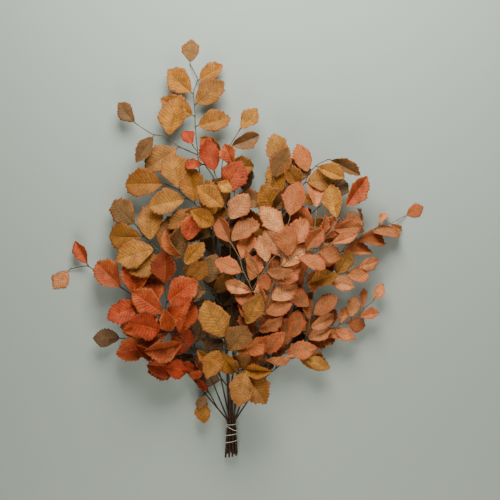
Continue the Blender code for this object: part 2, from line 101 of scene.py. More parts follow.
# room kept round each piece, how far twigs move to find it, where the bundle ends, and the
# height below which a twig's tip rests on the surface
CLEARANCE = 0.7
TABLE_CLEARANCE = 0.6
SHIFTS = (0, 3, -3, 6, -6, 9, -9, 12, -12)
BUNDLE_END = TIE_FROM_ENDS + 30
TWIG_FLOOR = 4.0
STEM_SIDES = 5
TIE_SIDES = 3

# a stem: its leaves' kind, its place in the bundle, the seed of its draws and its twigs
Stem = namedtuple("Stem", "name finish ring angle seed twigs")
# a twig: its route, the length that bears leaves, how many, the side of the first one
# (1 is right of the way it grows), the lengths of the first leaf and the last, and how wide
# its leaves open as a share of the usual angle
Twig = namedtuple("Twig", "route leafy count side first last open", defaults=(1.0,))

STEMS = [
    Stem("salmon_stem_centre", "salmon", OUTER_RING, 70, 35, [
        Twig([(8, 105, 26), (22, 150, 44), (36, 200, 62), (46, 240, 74), (46, 267, 80),
              (28, 298, 84), (15, 333, 84), (2, 359, 82)], 170, 11, -1, 46, 46),
        Twig([(44, 232, 72), (60, 262, 82), (68, 296, 88), (78, 320, 91), (85, 339, 92),
              (88, 372, 91), (96, 401, 87)], 165, 11, 1, 48, 58),
        Twig([(77, 318, 90), (98, 338, 97), (123, 348, 96), (160, 360, 88)], 86, 6, 1, 46, 46),
        Twig([(36, 285, 83), (50, 310, 92), (62, 328, 97), (72, 341, 98)], 45, 4, -1, 42, 42),
    ]),
    Stem("rust_stem_centre", "rust", INNER_RING, 60, 13, [
        Twig([(0, 110, 18), (4, 185, 36), (2, 250, 52), (-1, 300, 62), (-2, 350, 70),
              (-5, 399, 76), (-12, 439, 78), (-26, 474, 76)], 118, 6, 1, 52, 54),
        Twig([(-4, 388, 75), (4, 430, 82), (9, 458, 82), (5, 484, 80)], 56, 4, 1, 44, 34),
        Twig([(-15, 445, 78), (-40, 488, 66), (-62, 520, 56)], 38, 3, -1, 30, 27),
    ]),
    Stem("ochre_stem_centre", "ochre", OUTER_RING, 110, 69, [
        Twig([(-3, 105, 28), (-4, 150, 50), (-6, 185, 66), (-10, 204, 74)], 50, 4, 1, 52, 66),
        Twig([(-4, 152, 51), (6, 180, 68), (16, 203, 77), (22, 226, 80)], 44, 3, 1, 50, 52),
        Twig([(-3, 118, 34), (8, 143, 52), (20, 157, 62), (28, 150, 66)], 38, 4, 1, 48, 56),
        Twig([(-6, 185, 66), (-14, 198, 75), (-18, 200, 79), (-19, 191, 82)], 1, 1, -1, 54, 54),
        Twig([(8, 143, 52), (15, 163, 66), (21, 166, 73), (22, 156, 77)], 1, 1, 1, 54, 54),
    ]),
    Stem("rust_stem_left", "rust", OUTER_RING, 150, 25, [
        Twig([(-20, 102, 20), (-46, 165, 38), (-65, 190, 46), (-87, 208, 52), (-101, 220, 55),
              (-108, 239, 57), (-106, 266, 58), (-109, 290, 58)], 105, 7, -1, 60, 58),
        Twig([(-105, 232, 56), (-129, 253, 54), (-159, 271, 47), (-180, 286, 40)],
             80, 5, -1, 58, 56),
        Twig([(-180, 286, 40), (-216, 304, 25), (-238, 321, 14), (-262, 326, 6), (-272, 318, 3.0)],
             38, 2, 1, 45, 39),
        Twig([(-83, 205, 51), (-98, 213, 60), (-112, 218, 65)], 24, 3, -1, 54, 62),
    ]),
    Stem("ochre_stem_left", "ochre", INNER_RING, 180, 4, [
        Twig([(-14, 110, 17), (-28, 185, 30), (-58, 267, 44), (-87, 317, 50), (-117, 347, 50),
              (-137, 365, 48), (-156, 390, 44)], 96, 8, -1, 62, 58),
        Twig([(-62, 275, 45), (-75, 305, 58), (-80, 330, 66), (-74, 362, 70)], 66, 5, 1, 50, 44),
    ]),
    Stem("ochre_stem_upper_left", "ochre", INNER_RING, 300, 69, [
        Twig([(-4, 110, 16), (-8, 185, 27), (-16, 262, 38), (-24, 341, 47), (-29, 376, 50),
              (-36, 403, 52), (-60, 425, 51), (-84, 446, 49), (-99, 456, 47), (-108, 459, 46)],
             126, 9, -1, 60, 64),
        Twig([(-28, 368, 49), (-25, 388, 57), (-26, 403, 61)], 22, 3, 1, 44, 60),
        Twig([(-16, 258, 37), (-34, 280, 46), (-44, 296, 51), (-54, 318, 54)], 48, 5, 1, 46, 54),
    ]),
    Stem("salmon_stem_right", "salmon", OUTER_RING, 30, 64, [
        Twig([(14, 105, 16), (50, 165, 28), (92, 230, 40), (130, 290, 48), (163, 332, 52),
              (193, 358, 48), (220, 375, 38), (244, 389, 25), (270, 396, 11), (292, 407, 3.0)],
             136, 8, 1, 56, 31, 0.55),
        Twig([(106, 254, 44), (124, 300, 58), (135, 345, 68), (138, 385, 71), (140, 415, 69)],
             140, 8, -1, 50, 50),
        Twig([(134, 340, 67), (158, 375, 73), (176, 400, 73), (186, 418, 71)], 70, 5, 1, 44, 60),
        Twig([(136, 298, 49), (160, 304, 56), (182, 310, 58), (206, 322, 55)], 66, 5, -1, 42, 38),
    ]),
    Stem("salmon_stem_low_right", "salmon", OUTER_RING, 350, 7, [
        Twig([(22, 100, 11), (60, 140, 17), (100, 175, 24), (140, 205, 30), (175, 222, 32),
              (200, 234, 31), (218, 248, 30), (236, 264, 28)], 136, 13, 1, 36, 30),
        Twig([(72, 151, 19), (86, 178, 36), (99, 200, 44)], 36, 4, -1, 48, 50),
        Twig([(92, 168, 23), (108, 173, 32), (119, 172, 35)], 12, 2, 1, 42, 46),
        Twig([(48, 130, 15), (50, 152, 30), (56, 176, 42)], 32, 4, 1, 46, 50),
        Twig([(118, 189, 27), (128, 220, 42), (133, 248, 52), (136, 275, 57)], 80, 7, 1, 42, 58),
        Twig([(56, 136, 16), (68, 175, 32), (78, 215, 44), (84, 255, 50)], 104, 7, -1, 44, 42),
    ]),
    Stem("rust_stem_low_left", "rust", OUTER_RING, 190, 63, [
        Twig([(-20, 114, 12), (-48, 146, 16), (-80, 156, 20), (-103, 180, 24), (-124, 188, 25),
              (-150, 195, 24), (-167, 199, 22), (-182, 202, 20)], 112, 7, -1, 54, 44, 0.8),
        Twig([(-52, 147, 16), (-66, 150, 26), (-80, 154, 31)], 18, 2, -1, 46, 60),
        Twig([(-13, 92, 11), (-28, 108, 14), (-40, 113, 15), (-48, 109, 15), (-50, 101, 15)],
             22, 3, 1, 24, 36, 0.7),
        Twig([(-38, 134, 14), (-46, 142, 24), (-57, 146, 28)], 16, 3, -1, 28, 28),
    ]),
    Stem("ochre_stem_tall", "ochre", OUTER_RING, 230, 11, [
        Twig([(-6, 110, 8), (-10, 185, 14), (-17, 267, 22), (-28, 350, 30), (-41, 408, 34),
              (-54, 450, 36), (-52, 474, 36), (-68, 509, 34), (-64, 545, 30), (-59, 579, 24),
              (-65, 605, 17), (-57, 637, 9), (-69, 656, 4.4), (-70, 664, 3.0)], 118, 6, 1, 57, 37),
        Twig([(-66, 507, 34), (-86, 522, 33), (-111, 540, 32), (-137, 544, 30), (-145, 545, 29),
              (-158, 560, 27)], 86, 4, -1, 62, 40),
        Twig([(-27, 346, 30), (-20, 395, 38), (-14, 439, 42), (-20, 471, 43), (-12, 503, 43),
              (-2, 525, 42), (6, 535, 41), (13, 547, 40)], 70, 4, 1, 50, 44),
    ]),
    Stem("ochre_stem_upper_right", "ochre", OUTER_RING, 310, 33, [
        Twig([(5, 110, 8), (18, 185, 16), (36, 267, 26), (58, 340, 36), (78, 400, 44),
              (92, 440, 48), (90, 462, 50), (84, 482, 50)], 130, 8, 1, 58, 56),
        Twig([(73, 386, 42), (64, 420, 52), (62, 445, 55), (68, 466, 55)], 70, 5, -1, 54, 50),
        Twig([(80, 405, 45), (105, 430, 56), (120, 460, 60), (138, 488, 60), (152, 499, 59),
              (160, 499, 58)],
             100, 7, -1, 46, 50),
        Twig([(60, 345, 37), (95, 380, 48), (131, 407, 54), (150, 425, 53)], 60, 4, -1, 60, 62),
    ]),
    # this stem's leaves lie lowest, under the rest; their dark brown is partly their own dry colour
    # and partly painted shade
    Stem("brown_stem_back", "brown", OUTER_RING, 270, 59, [
        Twig([(0, 110, 5), (4, 185, 9), (10, 260, 13), (20, 330, 16), (26, 400, 17),
              (22, 442, 17)], 240, 8, 1, 54, 44),
        Twig([(11, 268, 13), (-12, 310, 16), (-28, 340, 18)], 50, 3, -1, 48, 46),
        Twig([(-1, 112, 5), (-20, 138, 5), (-42, 163, 10), (-62, 187, 14), (-76, 212, 17)],
             104, 7, -1, 46, 46),
        Twig([(3, 172, 8), (-8, 215, 16), (-18, 252, 21), (-26, 282, 24)], 100, 6, 1, 48, 48),
        Twig([(2, 118, 6), (16, 142, 6), (32, 165, 9), (42, 190, 13)], 70, 5, 1, 44, 46),
        Twig([(2, 150, 7), (30, 182, 9), (66, 214, 14), (100, 242, 19)], 96, 6, 1, 48, 48),
    ]),
]


def spine(points):
    """A smooth line through the points, as points about one step apart."""
    points = [Vector(p) for p in points]
    ends = [2 * points[0] - points[1], 2 * points[-1] - points[-2]]
    padded = [ends[0]] + points + [ends[1]]
    line = []
    for a, b, c, d in zip(padded, padded[1:], padded[2:], padded[3:]):
        steps = max(2, round((c - b).length / SPINE_STEP))
        for i in range(steps):
            t = i / steps
            line.append(0.5 * (2 * b + (c - a) * t + (2 * a - 5 * b + 4 * c - d) * t ** 2
                               + (3 * b - a - 3 * c + d) * t ** 3))
    return line + [points[-1]]


def distances(line):
    """How far along the line each of its points is."""
    run = [0.0]
    for a, b in zip(line, line[1:]):
        run.append(run[-1] + (b - a).length)
    return run


def place_on(line, run, distance):
    """The point at a distance along the line, and the way the line heads there."""
    i = 0
    while i < len(run) - 2 and run[i + 1] < distance:
        i += 1
    way = (line[i + 1] - line[i]).normalized()
    return line[i] + way * (distance - run[i]), way


def nearest_on(path, point):
    """The point of a path that is nearest to another point."""
    best = path[0]
    for a, b in zip(path, path[1:]):
        share = min(1.0, max(0.0, (point - a).dot(b - a) / (b - a).length_squared))
        near = a.lerp(b, share)
        if (near - point).length < (best - point).length:
            best = near
    return best


def upright(way):
    """The direction square to a twig that points most nearly up."""
    up = Vector((0, 0, 1))
    return (up - way * up.dot(way)).normalized()


def bundle_point(ring, angle, y):
    """Where a stem crosses the bundle: tightest at the tie, spread at the cut ends."""
    spread = 1 + (SPLAY - 1) * max(0.0, TIE_FROM_ENDS - y) / TIE_FROM_ENDS
    turn = math.radians(angle)
    return Vector((ring * spread * math.cos(turn), y,
                   AXIS_HEIGHT + ring * spread * math.sin(turn)))


def stem_route(stem):
    """The main twig's route, with the stem's bare foot below it, cut a little higher or lower."""
    cut = random.Random(stem.angle).uniform(0, CUT_SPREAD)
    foot = [bundle_point(stem.ring, stem.angle, y) for y in [cut] + FOOT_RINGS]
    return foot + [Vector(p) for p in stem.twigs[0].route]


def nodes_of(run, twig):
    """The leaf nodes, wider apart towards the tip: distance, side and leaf length each."""
    gaps = max(1, twig.count - 1)
    nodes = []
    for k in range(twig.count):
        left = (gaps - k) / gaps if twig.count > 1 else 0.0
        along = run[-1] - twig.leafy * left ** NODE_SPREAD
        taper = math.cos(0.5 * math.pi * k / gaps) ** 0.7 if k < gaps else 0.0
        side = twig.side if k % 2 == 0 else -twig.side
        nodes.append((along, side, twig.last + (twig.first - twig.last) * taper))
    return nodes


def tube(path, radii, sides):
    """A closed tube along a path, as vertices and faces."""
    vertices, faces = [], []
    for i, point in enumerate(path):
        way = (path[min(i + 1, len(path) - 1)] - path[max(i - 1, 0)]).normalized()
        up = upright(way)
        across = way.cross(up)
        for k in range(sides):
            turn = 2 * math.pi * k / sides
            vertices.append(point + radii[i] * (math.cos(turn) * up + math.sin(turn) * across))
    for i in range(len(path) - 1):
        for k in range(sides):
            a, b = i * sides + k, i * sides + (k + 1) % sides
            faces.append((a, b, b + sides))
            faces.append((a, b + sides, a + sides))
    last = (len(path) - 1) * sides
    for k in range(1, sides - 1):
        faces.append((0, k + 1, k))
        faces.append((last, last + k, last + k + 1))
    return vertices, faces


# half of a leaf's edge, from its foot to near its tip: how far along and how wide, as shares
EDGE = [(0.0, 0.06), (0.1, 0.44), (0.34, 0.9), (0.6, 0.97), (0.84, 0.52)]
SMALL_EDGE = [(0.0, 0.08), (0.15, 0.54), (0.5, 1.0), (0.82, 0.56)]
RIB = [0.45]

# a leaf's place: the twig's axis where it roots, the foot of its blade, its right, its way,
# its face, its length, its width as a share, how deep it is folded, how its tip curls, how
# far the tip leans to a side as a share of the length, and how far its edge waves
Leaf = namedtuple("Leaf", "root foot right way face length width fold curl lean wave")


def blade_point(leaf, across, along, lift):
    """A point of the blade: across in shares of the half width, along in shares of the length."""
    bend = leaf.curl * along
    if abs(leaf.curl) > 0.01:
        run = leaf.length * math.sin(bend) / leaf.curl
        drop = leaf.length * (1 - math.cos(bend)) / leaf.curl
    else:
        run, drop = leaf.length * along, 0.0
    out = across * 0.5 * leaf.width * leaf.length
    face = leaf.face * math.cos(bend) + leaf.way * math.sin(bend)
    side = out * math.cos(leaf.fold) + leaf.lean * leaf.length * along ** 2
    return (leaf.foot + leaf.way * run - leaf.face * drop + leaf.right * side
            + face * (abs(out) * math.sin(leaf.fold) + lift))


def zip_strip(rib, edge):
    """Triangles between the rib and an edge: lists of (share along, vertex number)."""
    triangles = []
    i = j = 0
    while i < len(rib) - 1 or j < len(edge) - 1:
        step_rib = j == len(edge) - 1 or (i < len(rib) - 1 and rib[i + 1][0] < edge[j + 1][0])
        if step_rib:
            triangles.append((rib[i][1], rib[i + 1][1], edge[j][1]))
            i += 1
        else:
            triangles.append((rib[i][1], edge[j + 1][1], edge[j][1]))
            j += 1
    return triangles


def leaf_solid(leaf, thickness=BLADE_THICKNESS, margin=0.0):
    """The leaf as a closed slab: petiole, blade and the same triangles on both faces."""
    half_edge = SMALL_EDGE if leaf.length < SMALL_LEAF else EDGE
    widen = 1 + margin / (0.5 * leaf.width * leaf.length)
    half = 0.5 * thickness
    count = len(half_edge)
    waves = [0.0] + [leaf.wave * (-1) ** i for i in range(1, count)]
    edge = [(s, w * widen, wave) for (s, w), wave in zip(half_edge, waves)]
    layers = []
    for lift in (half, -half):
        layer = [leaf.root + leaf.face * lift]
        layer += [blade_point(leaf, -w, s, lift + wave) for s, w, wave in edge]
        layer.append(blade_point(leaf, 0.0, 1.0 + margin / leaf.length, lift))
        layer += [blade_point(leaf, w, s, lift - wave) for s, w, wave in reversed(edge)]
        layer += [blade_point(leaf, 0.0, s, lift) for s in RIB]
        layers.append(layer)
    tip = count + 1
    shares = [s for s, w in half_edge]
    left = list(zip(shares, range(1, count + 1))) + [(1.0, tip)]
    right = list(zip(shares, range(2 * count + 1, tip, -1))) + [(1.0, tip)]
    rib = [(s, 2 * count + 2 + i) for i, s in enumerate(RIB)] + [(1.0, tip)]
    face = [(0, 2 * count + 1, 1)]
    # the foot of the blade closes on the first rib point
    face.append((1, 2 * count + 1, rib[0][1]))
    face += [(a, b, c) for a, b, c in zip_strip(rib, left) if len({a, b, c}) == 3]
    face += [(a, c, b) for a, b, c in zip_strip(rib, right) if len({a, b, c}) == 3]
    size = len(layers[0])
    faces = list(face) + [(a + size, c + size, b + size) for a, b, c in face]
    border = 2 * count + 2
    for i in range(border):
        j = (i + 1) % border
        faces.append((i, j, j + size))
        faces.append((i, j + size, i + size))
    return layers[0] + layers[1], faces


def box_of(vertices):
    """The lowest and highest corner round some points."""
    low = Vector([min(v[k] for v in vertices) for k in range(3)])
    high = Vector([max(v[k] for v in vertices) for k in range(3)])
    return low, high


class Space:
    """What has been placed so far, so that the next piece can be kept clear of it."""

    def __init__(self):
        self.pieces = []

    def add(self, owner, vertices, faces):
        low, high = box_of(vertices)
        self.pieces.append((owner, low, high, BVHTree.FromPolygons(vertices, faces)))

    def blocked(self, vertices, faces, skip=()):
        """Whether a solid crosses anything but the pieces of the owners named in skip."""
        low, high = box_of(vertices)
        tree = None
        for owner, other_low, other_high, other_tree in self.pieces:
            if owner in skip or any(low[k] > other_high[k] or high[k] < other_low[k]
                                    for k in range(3)):
                continue
            if tree is None:
                tree = BVHTree.FromPolygons(vertices, faces)
            if tree.overlap(other_tree):
                return True
        return False


def twig_path(line, run, twig, is_stem):
    """The tube's points: a bare run, then the nodes, each set a little to its leaf's side."""
    nodes = nodes_of(run, twig)
    bare = max(nodes[0][0] - 8.0, 0.0)
    path = [line[0]]
    start = 0.0
    if is_stem:
        for y in FOOT_RINGS:
            start = next(d for p, d in zip(line, run) if p.y >= y - 0.01)
            path.append(place_on(line, run, start)[0])
    steps = max(1, round((bare - start) / BARE_STEP))
    path += [place_on(line, run, start + (bare - start) * i / steps)[0] for i in range(1, steps)]
    for along, side, length in nodes[:-1]:
        point, way = place_on(line, run, along + RING_PAST_NODE)
        path.append(point + way.cross(upright(way)) * side * ZIGZAG)
    return path + [line[-1]]


def grow_twigs(stem, space):
    """Each twig's line and tube, moved up or down where it would cross another stem."""
    grown = []
    for number, twig in enumerate(stem.twigs):
        route = stem_route(stem) if number == 0 else [Vector(p) for p in twig.route]
        if number:
            route[0] = min((nearest_on(path, route[0]) for line, run, path, radii in grown),
                           key=lambda p: (p - route[0]).length)
        fixed = len(FOOT_RINGS) + 1 if number == 0 else 1
        end = len(route) - (1 if route[-1].z < TWIG_FLOOR else 0)
        for shift in SHIFTS:
            moved = [p.copy() for p in route]
            for p in moved[fixed:end]:
                p.z = max(p.z + shift, TWIG_FLOOR)
            line = spine(moved)
            run = distances(line)
            path = twig_path(line, run, twig, number == 0)
            start = STEM_RADIUS if number == 0 else TWIG_RADIUS
            lengths = distances(path)
            radii = [start + (TIP_RADIUS - start) * d / lengths[-1] for d in lengths]
            free = [(p, r + CLEARANCE) for p, r in zip(path, radii) if p.y > BUNDLE_END]
            roomy = tube([p for p, r in free], [r for p, r in free], STEM_SIDES)
            if not space.blocked(*roomy, skip=(stem.name,)):
                break
        else:
            print(stem.name, "twig", number, "found no clear height")
        grown.append((line, run, path, radii))
        space.add(stem.name, *tube(path, radii, STEM_SIDES))
    return grown


def settle_leaf(root, way, up, opening, length, finish, terminal, draws, k):
    """One trial place for a leaf: the first is the plain rule, later ones stray further."""
    lift = LIFT[finish]
    stray = min(1.0, 0.35 + 0.09 * k)
    turn = math.radians(draws.uniform(-11, 11) * (1 + stray))
    if not terminal:
        turn += math.radians(OPEN_ANGLE[finish]) * opening
    tilt = math.radians(draws.uniform(-16, 16) * stray + math.copysign(6, lift))
    roll = math.radians(draws.uniform(-1, 1) * ROLL[finish] * stray)
    across = way.cross(up)
    heading = way * math.cos(turn) + across * math.sin(turn)
    heading = (heading * math.cos(tilt) + up * math.sin(tilt)).normalized()
    right = heading.cross(up).normalized()
    face = right.cross(heading)
    right, face = (right * math.cos(roll) - face * math.sin(roll),
                   face * math.cos(roll) + right * math.sin(roll))
    fold = math.radians(draws.uniform(4, 24) + (20 if draws.random() < FOLDED_SHARE else 0))
    curl = math.radians(draws.uniform(-16, 38))
    foot = root + heading * PETIOLE + face * (0.25 * lift if terminal else lift)
    return Leaf(root - heading * PETIOLE_SINK, foot, right, heading, face, length,
                BLADE_WIDTH[finish] * draws.uniform(0.92, 1.08), fold, curl,
                draws.uniform(-LEAN, LEAN), WAVE)


def flat_leaf(root, way, length, finish):
    """A leaf that lies flat on the surface and carries the twig's tip."""
    heading = Vector((way.x, way.y, 0)).normalized()
    face = Vector((0, 0, 1))
    foot = root + heading * PETIOLE
    foot.z = 0.5 * BLADE_THICKNESS
    return Leaf(root - heading * PETIOLE_SINK, foot, heading.cross(face), heading, face,
                length, BLADE_WIDTH[finish], 0.0, 0.0, 0.0, 0.0)


def grow_leaves(stem, grown, space):
    """The leaves of one stem: one at each node, on alternate sides, one on each tip."""
    draws = random.Random(stem.seed)
    leaves = []
    for (line, run, path, radii), twig in zip(grown, stem.twigs):
        nodes = nodes_of(run, twig)
        for number, (along, side, length) in reversed(list(enumerate(nodes))):
            terminal = number == len(nodes) - 1
            way = place_on(line, run, along)[1]
            root = path[-1] if terminal else nearest_on(path, place_on(line, run, along)[0])
            up = upright(way)
            if terminal and root.z < TWIG_FLOOR:
                leaf = flat_leaf(root, way, length, stem.finish)
                leaves.append(leaf)
                space.add(stem.name, *leaf_solid(leaf))
                continue
            for k in range(TRIES):
                size = length * draws.uniform(0.95, 1.09) * 0.97 ** max(0, k - FULL_SIZE_TRIES)
                leaf = settle_leaf(root, way, up, side * twig.open, size, stem.finish, terminal,
                                   draws, k)
                points, faces = leaf_solid(leaf, BLADE_THICKNESS + 2 * CLEARANCE, CLEARANCE)
                if min(v.z for v in points) < TABLE_CLEARANCE:
                    continue
                if space.blocked(points, faces, skip=(stem.name,)):
                    continue
                # the petiole meets its own twig, so only the blade has to clear its own stem
                blade = [f for f in faces if 0 not in f and len(points) // 2 not in f]
                if not space.blocked(points, blade):
                    leaves.append(leaf)
                    space.add(stem.name, *leaf_solid(leaf))
                    break
    return leaves


def tie_path():
    """The cord's line: turns round the bundle, tight at the waist and loose below it."""
    start, end = TIE_FROM_ENDS, TIE_LOOSE_END
    steps = TIE_TURNS * TIE_STEPS
    path = []
    for i in range(steps + 1):
        t = i / steps
        y = start + (end - start) * t ** 1.4
        turn = 2 * math.pi * TIE_TURNS * t
        spread = 1 + (SPLAY - 1) * max(0.0, TIE_FROM_ENDS - y) / TIE_FROM_ENDS
        clear = OUTER_RING * spread + STEM_RADIUS + TIE_GAP + TIE_RADIUS
        radius = clear / math.cos(math.pi / TIE_STEPS)
        path.append(Vector((radius * math.cos(turn), y, AXIS_HEIGHT + radius * math.sin(turn))))
    return path


space = Space()
grown = {stem.name: grow_twigs(stem, space) for stem in STEMS}
leaves = {stem.name: grow_leaves(stem, grown[stem.name], space) for stem in STEMS}

# the solids were moved so that their origin is the middle of their underside, and the tie's box
# tells by how much
coarse_tie = tie_path()
tie_low = box_of(tube(coarse_tie, [TIE_RADIUS] * len(coarse_tie), TIE_SIDES)[0])[0]
MOVED = np.array(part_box("tie")[0]) / MM - np.array(tie_low)

# The leaves
# Beech leaves, dried and preserved whole: thin stiff blades, pleated along nine to thirteen pairs
# of side veins, each vein running straight out to a small tooth. The blade stays satin above and
# goes paler beneath, and its petiole runs on under it as the midrib.
LEAF_THICKNESS = 0.36
VEIN_REACH = 1.8
# the pairs of side veins that a leaf has when it is longer than this
VEIN_PAIRS = ((52, 13), (42, 11), (0, 9))
TOOTH = 2.1
FULL_TOOTH_LENGTH = 50
LOBE = 0.07
SHORT_LOBE = 0.6 * LOBE
PLEAT = 0.65
PLEAT_RISE = 6
# the midrib stands out beneath and lies in a groove above; widths are shares of the half blade
RIB_DEPTH = 0.5
RIB_WIDTH = 0.06
RIB_GROOVE = 0.4
GROOVE_WIDTH = 0.05
RUFFLES = 2.6
PETIOLE_RADIUS = 0.55
BLADE_END = 0.15
# what is drawn for each leaf, between two limits: how far its teeth stand out and how wide it is,
# as shares, how far its halves close up, in radians, how far its edges roll, twist and ruffle,
# in millimetres, and where a wave of its edge begins, in radians
RAGGED = (0.1, 1.4)
SLIMMING = (0.84, 1.04)
CLOSING = (-0.06, 0.3)
ROLLING = (-1.8, 3.0)
TWISTING = (-2.0, 2.0)
RUFFLING = (0.4, 1.3)
BEGINNING = (0, 6)
# a leaf that stands higher doesn't close up, so the bunch stays as deep as the solids
HIGH_LEAF = 84
ROWS_A_VEIN = 3
CHART_VEINS = 16
COLUMNS = np.array([0.035, 0.12, 0.26, 0.44, 0.64, 0.83, 1.0])
ACROSS = np.concatenate([-COLUMNS[::-1], [0.0], COLUMNS])
SPECULAR = 0.2


def half_width(t):
    """Half of a beech leaf's width at share t of its length: t^0.75 (1-t)(1+1.3t), 1 at its widest.

    The factor 1-0.3t^8 draws the end out to a short point.
    """
    return t ** 0.75 * (1 - t) * (1 + 1.3 * t) * (1 - 0.3 * t ** 8) / 0.492


def ringed(points):
    """Rows of closed rings as quads, as vertex numbers; both ends are closed by strips of quads."""
    rows, around = points.shape[:2]
    number = np.arange(rows * around).reshape(rows, around)
    turned = np.roll(number, -1, axis=1)
    skin = np.stack([number[:-1], turned[:-1], turned[1:], number[1:]], axis=-1).reshape(-1, 4)
    j = np.arange(around // 2 - 1)
    first = np.stack([number[0][j], number[0][around - 1 - j],
                      number[0][around - 2 - j], number[0][j + 1]], axis=-1)
    last = np.stack([number[-1][j], number[-1][j + 1],
                     number[-1][around - 2 - j], number[-1][around - 1 - j]], axis=-1)
    return np.concatenate([first, skin, last])


def both_faces(upper, under):
    """Rows of closed rings: across the upper face, and back across the under face."""
    return np.concatenate([upper, under[:, ::-1]], axis=1)


def bent_blade(leaf, out, along, heights, fold):
    """A flat blade's points put in place, from how far out, how far along and how high they are.

    The length bends round a circle by the leaf's curl, the halves fold up on both sides of the
    rib, and the tip leans aside by the square of how far along it is.
    """
    bend = leaf.curl * along
    if abs(leaf.curl) > 0.01:
        run = leaf.length * np.sin(bend) / leaf.curl
        drop = leaf.length * (1 - np.cos(bend)) / leaf.curl
    else:
        run, drop = leaf.length * along, 0 * along
    start, right, way, up = (np.array(v) for v in (leaf.foot, leaf.right, leaf.way, leaf.face))
    normal = up * np.cos(bend)[..., None] + way * np.sin(bend)[..., None]
    lift = np.abs(out) * math.sin(fold) + heights
    aside = out * math.cos(fold) + leaf.lean * leaf.length * along ** 2
    return (start + way * run[..., None] - up * drop[..., None] + right * aside[..., None]
            + normal * lift[..., None])


def leaf_blade(leaf, pairs, chance):
    """A leaf's closed blade: its points, its chart and which of them are underneath.

    Row s leaves the midrib at share s of the length and meets the edge at 1-(1-s)^1.8, so each
    row lies along a side vein. The width there is half_width times 1 plus two sines, for the
    lobes, plus a tooth that grows to each vein's end and drops behind it. The relief is the
    height over the plain blade: |sin| of the vein count, with a valley at each vein, a groove
    exp(-(side/0.05)^2) along the rib, the solid's waves, a roll by side^3, a twist by the sine of
    one turn and a ruffle by side^4 and the sine of 2.6 turns. The groove, and the rib beneath it,
    get weaker towards the tip.
    """
    s = np.linspace(0, 1, pairs * ROWS_A_VEIN + 1)[:, None]
    u = ACROSS[None, :]
    side = np.abs(u)
    edge = 1 - (1 - s) ** VEIN_REACH
    count = pairs * s
    saw = ((count - 1 / ROWS_A_VEIN) % 1) * ROWS_A_VEIN / (ROWS_A_VEIN - 1)
    fade = np.sin(np.pi * s) ** 0.5
    ragged = np.where(u < 0, chance.uniform(*RAGGED, s.shape), chance.uniform(*RAGGED, s.shape))
    tooth = TOOTH * saw * ragged * fade * side ** 4 * min(1.0, leaf.length / FULL_TOOTH_LENGTH)
    foot = PETIOLE_RADIUS + (BLADE_END - PETIOLE_RADIUS) * s
    lobes = (1 + LOBE * np.sin(3 * np.pi * s + chance.uniform(*BEGINNING) + 2 * np.sign(u))
             + SHORT_LOBE * np.sin(8 * np.pi * s + chance.uniform(*BEGINNING)
                                   + 3 * np.sign(u)))
    width = leaf.width * chance.uniform(*SLIMMING)
    out = u * (half_width(edge) * lobes * 0.5 * width * leaf.length + foot)
    out = out + np.sign(u) * tooth
    along = s + (edge - s) * side + 0.5 * tooth / leaf.length

    pleats = PLEAT * (np.abs(np.sin(np.pi * count)) - 0.5) * fade * np.clip(side * PLEAT_RISE, 0, 1)
    groove = -RIB_GROOVE * np.exp(-(side / GROOVE_WIDTH) ** 2) * (1 - 0.7 * s)
    if leaf.wave:
        half_edge = SMALL_EDGE if leaf.length < SMALL_LEAF else EDGE
        shares = [share for share, half in half_edge] + [1.0]
        crests = [0.0] + [leaf.wave * (-1) ** i for i in range(1, len(half_edge))] + [0.0]
        wave = -np.sign(u) * np.interp(edge, shares, crests) * side ** 1.5
        roll = chance.uniform(*ROLLING) * side ** 3 * np.sin(np.pi * np.clip(along, 0, 1))
        twist = (chance.uniform(*TWISTING) * u
                 * np.sin(2 * np.pi * along + chance.uniform(*BEGINNING)))
        ruffle = (chance.uniform(*RUFFLING) * side ** 4 * fade
                  * np.sin(2 * np.pi * RUFFLES * along + 2 * np.sign(u)
                           + chance.uniform(*BEGINNING)))
        relief = pleats + groove + wave + roll + twist + ruffle
    else:
        # a leaf that lies flat on the surface has half the relief, and rests on its rib
        relief = 0.5 * (pleats + groove)
        relief = relief - relief.min() + RIB_DEPTH + 0.5 * (LEAF_THICKNESS - BLADE_THICKNESS)

    rib = RIB_DEPTH * np.exp(-(side / RIB_WIDTH) ** 2) * (1 - 0.8 * s)
    heights = both_faces(relief + 0.5 * LEAF_THICKNESS, relief - 0.5 * LEAF_THICKNESS - rib)
    closing = chance.uniform(*CLOSING)
    fold = leaf.fold + (closing if leaf.wave and leaf.foot.z < HIGH_LEAF else 0.0)
    points = bent_blade(leaf, both_faces(out, out), both_faces(along, along), heights, fold)
    across = both_faces(u, u) * np.ones_like(s)
    chart = np.stack([0.5 + 0.5 * across, (count + 0 * across) / CHART_VEINS], axis=-1)
    under = both_faces(0 * u, 0 * u + 1) * np.ones_like(s)
    return points, chart, under


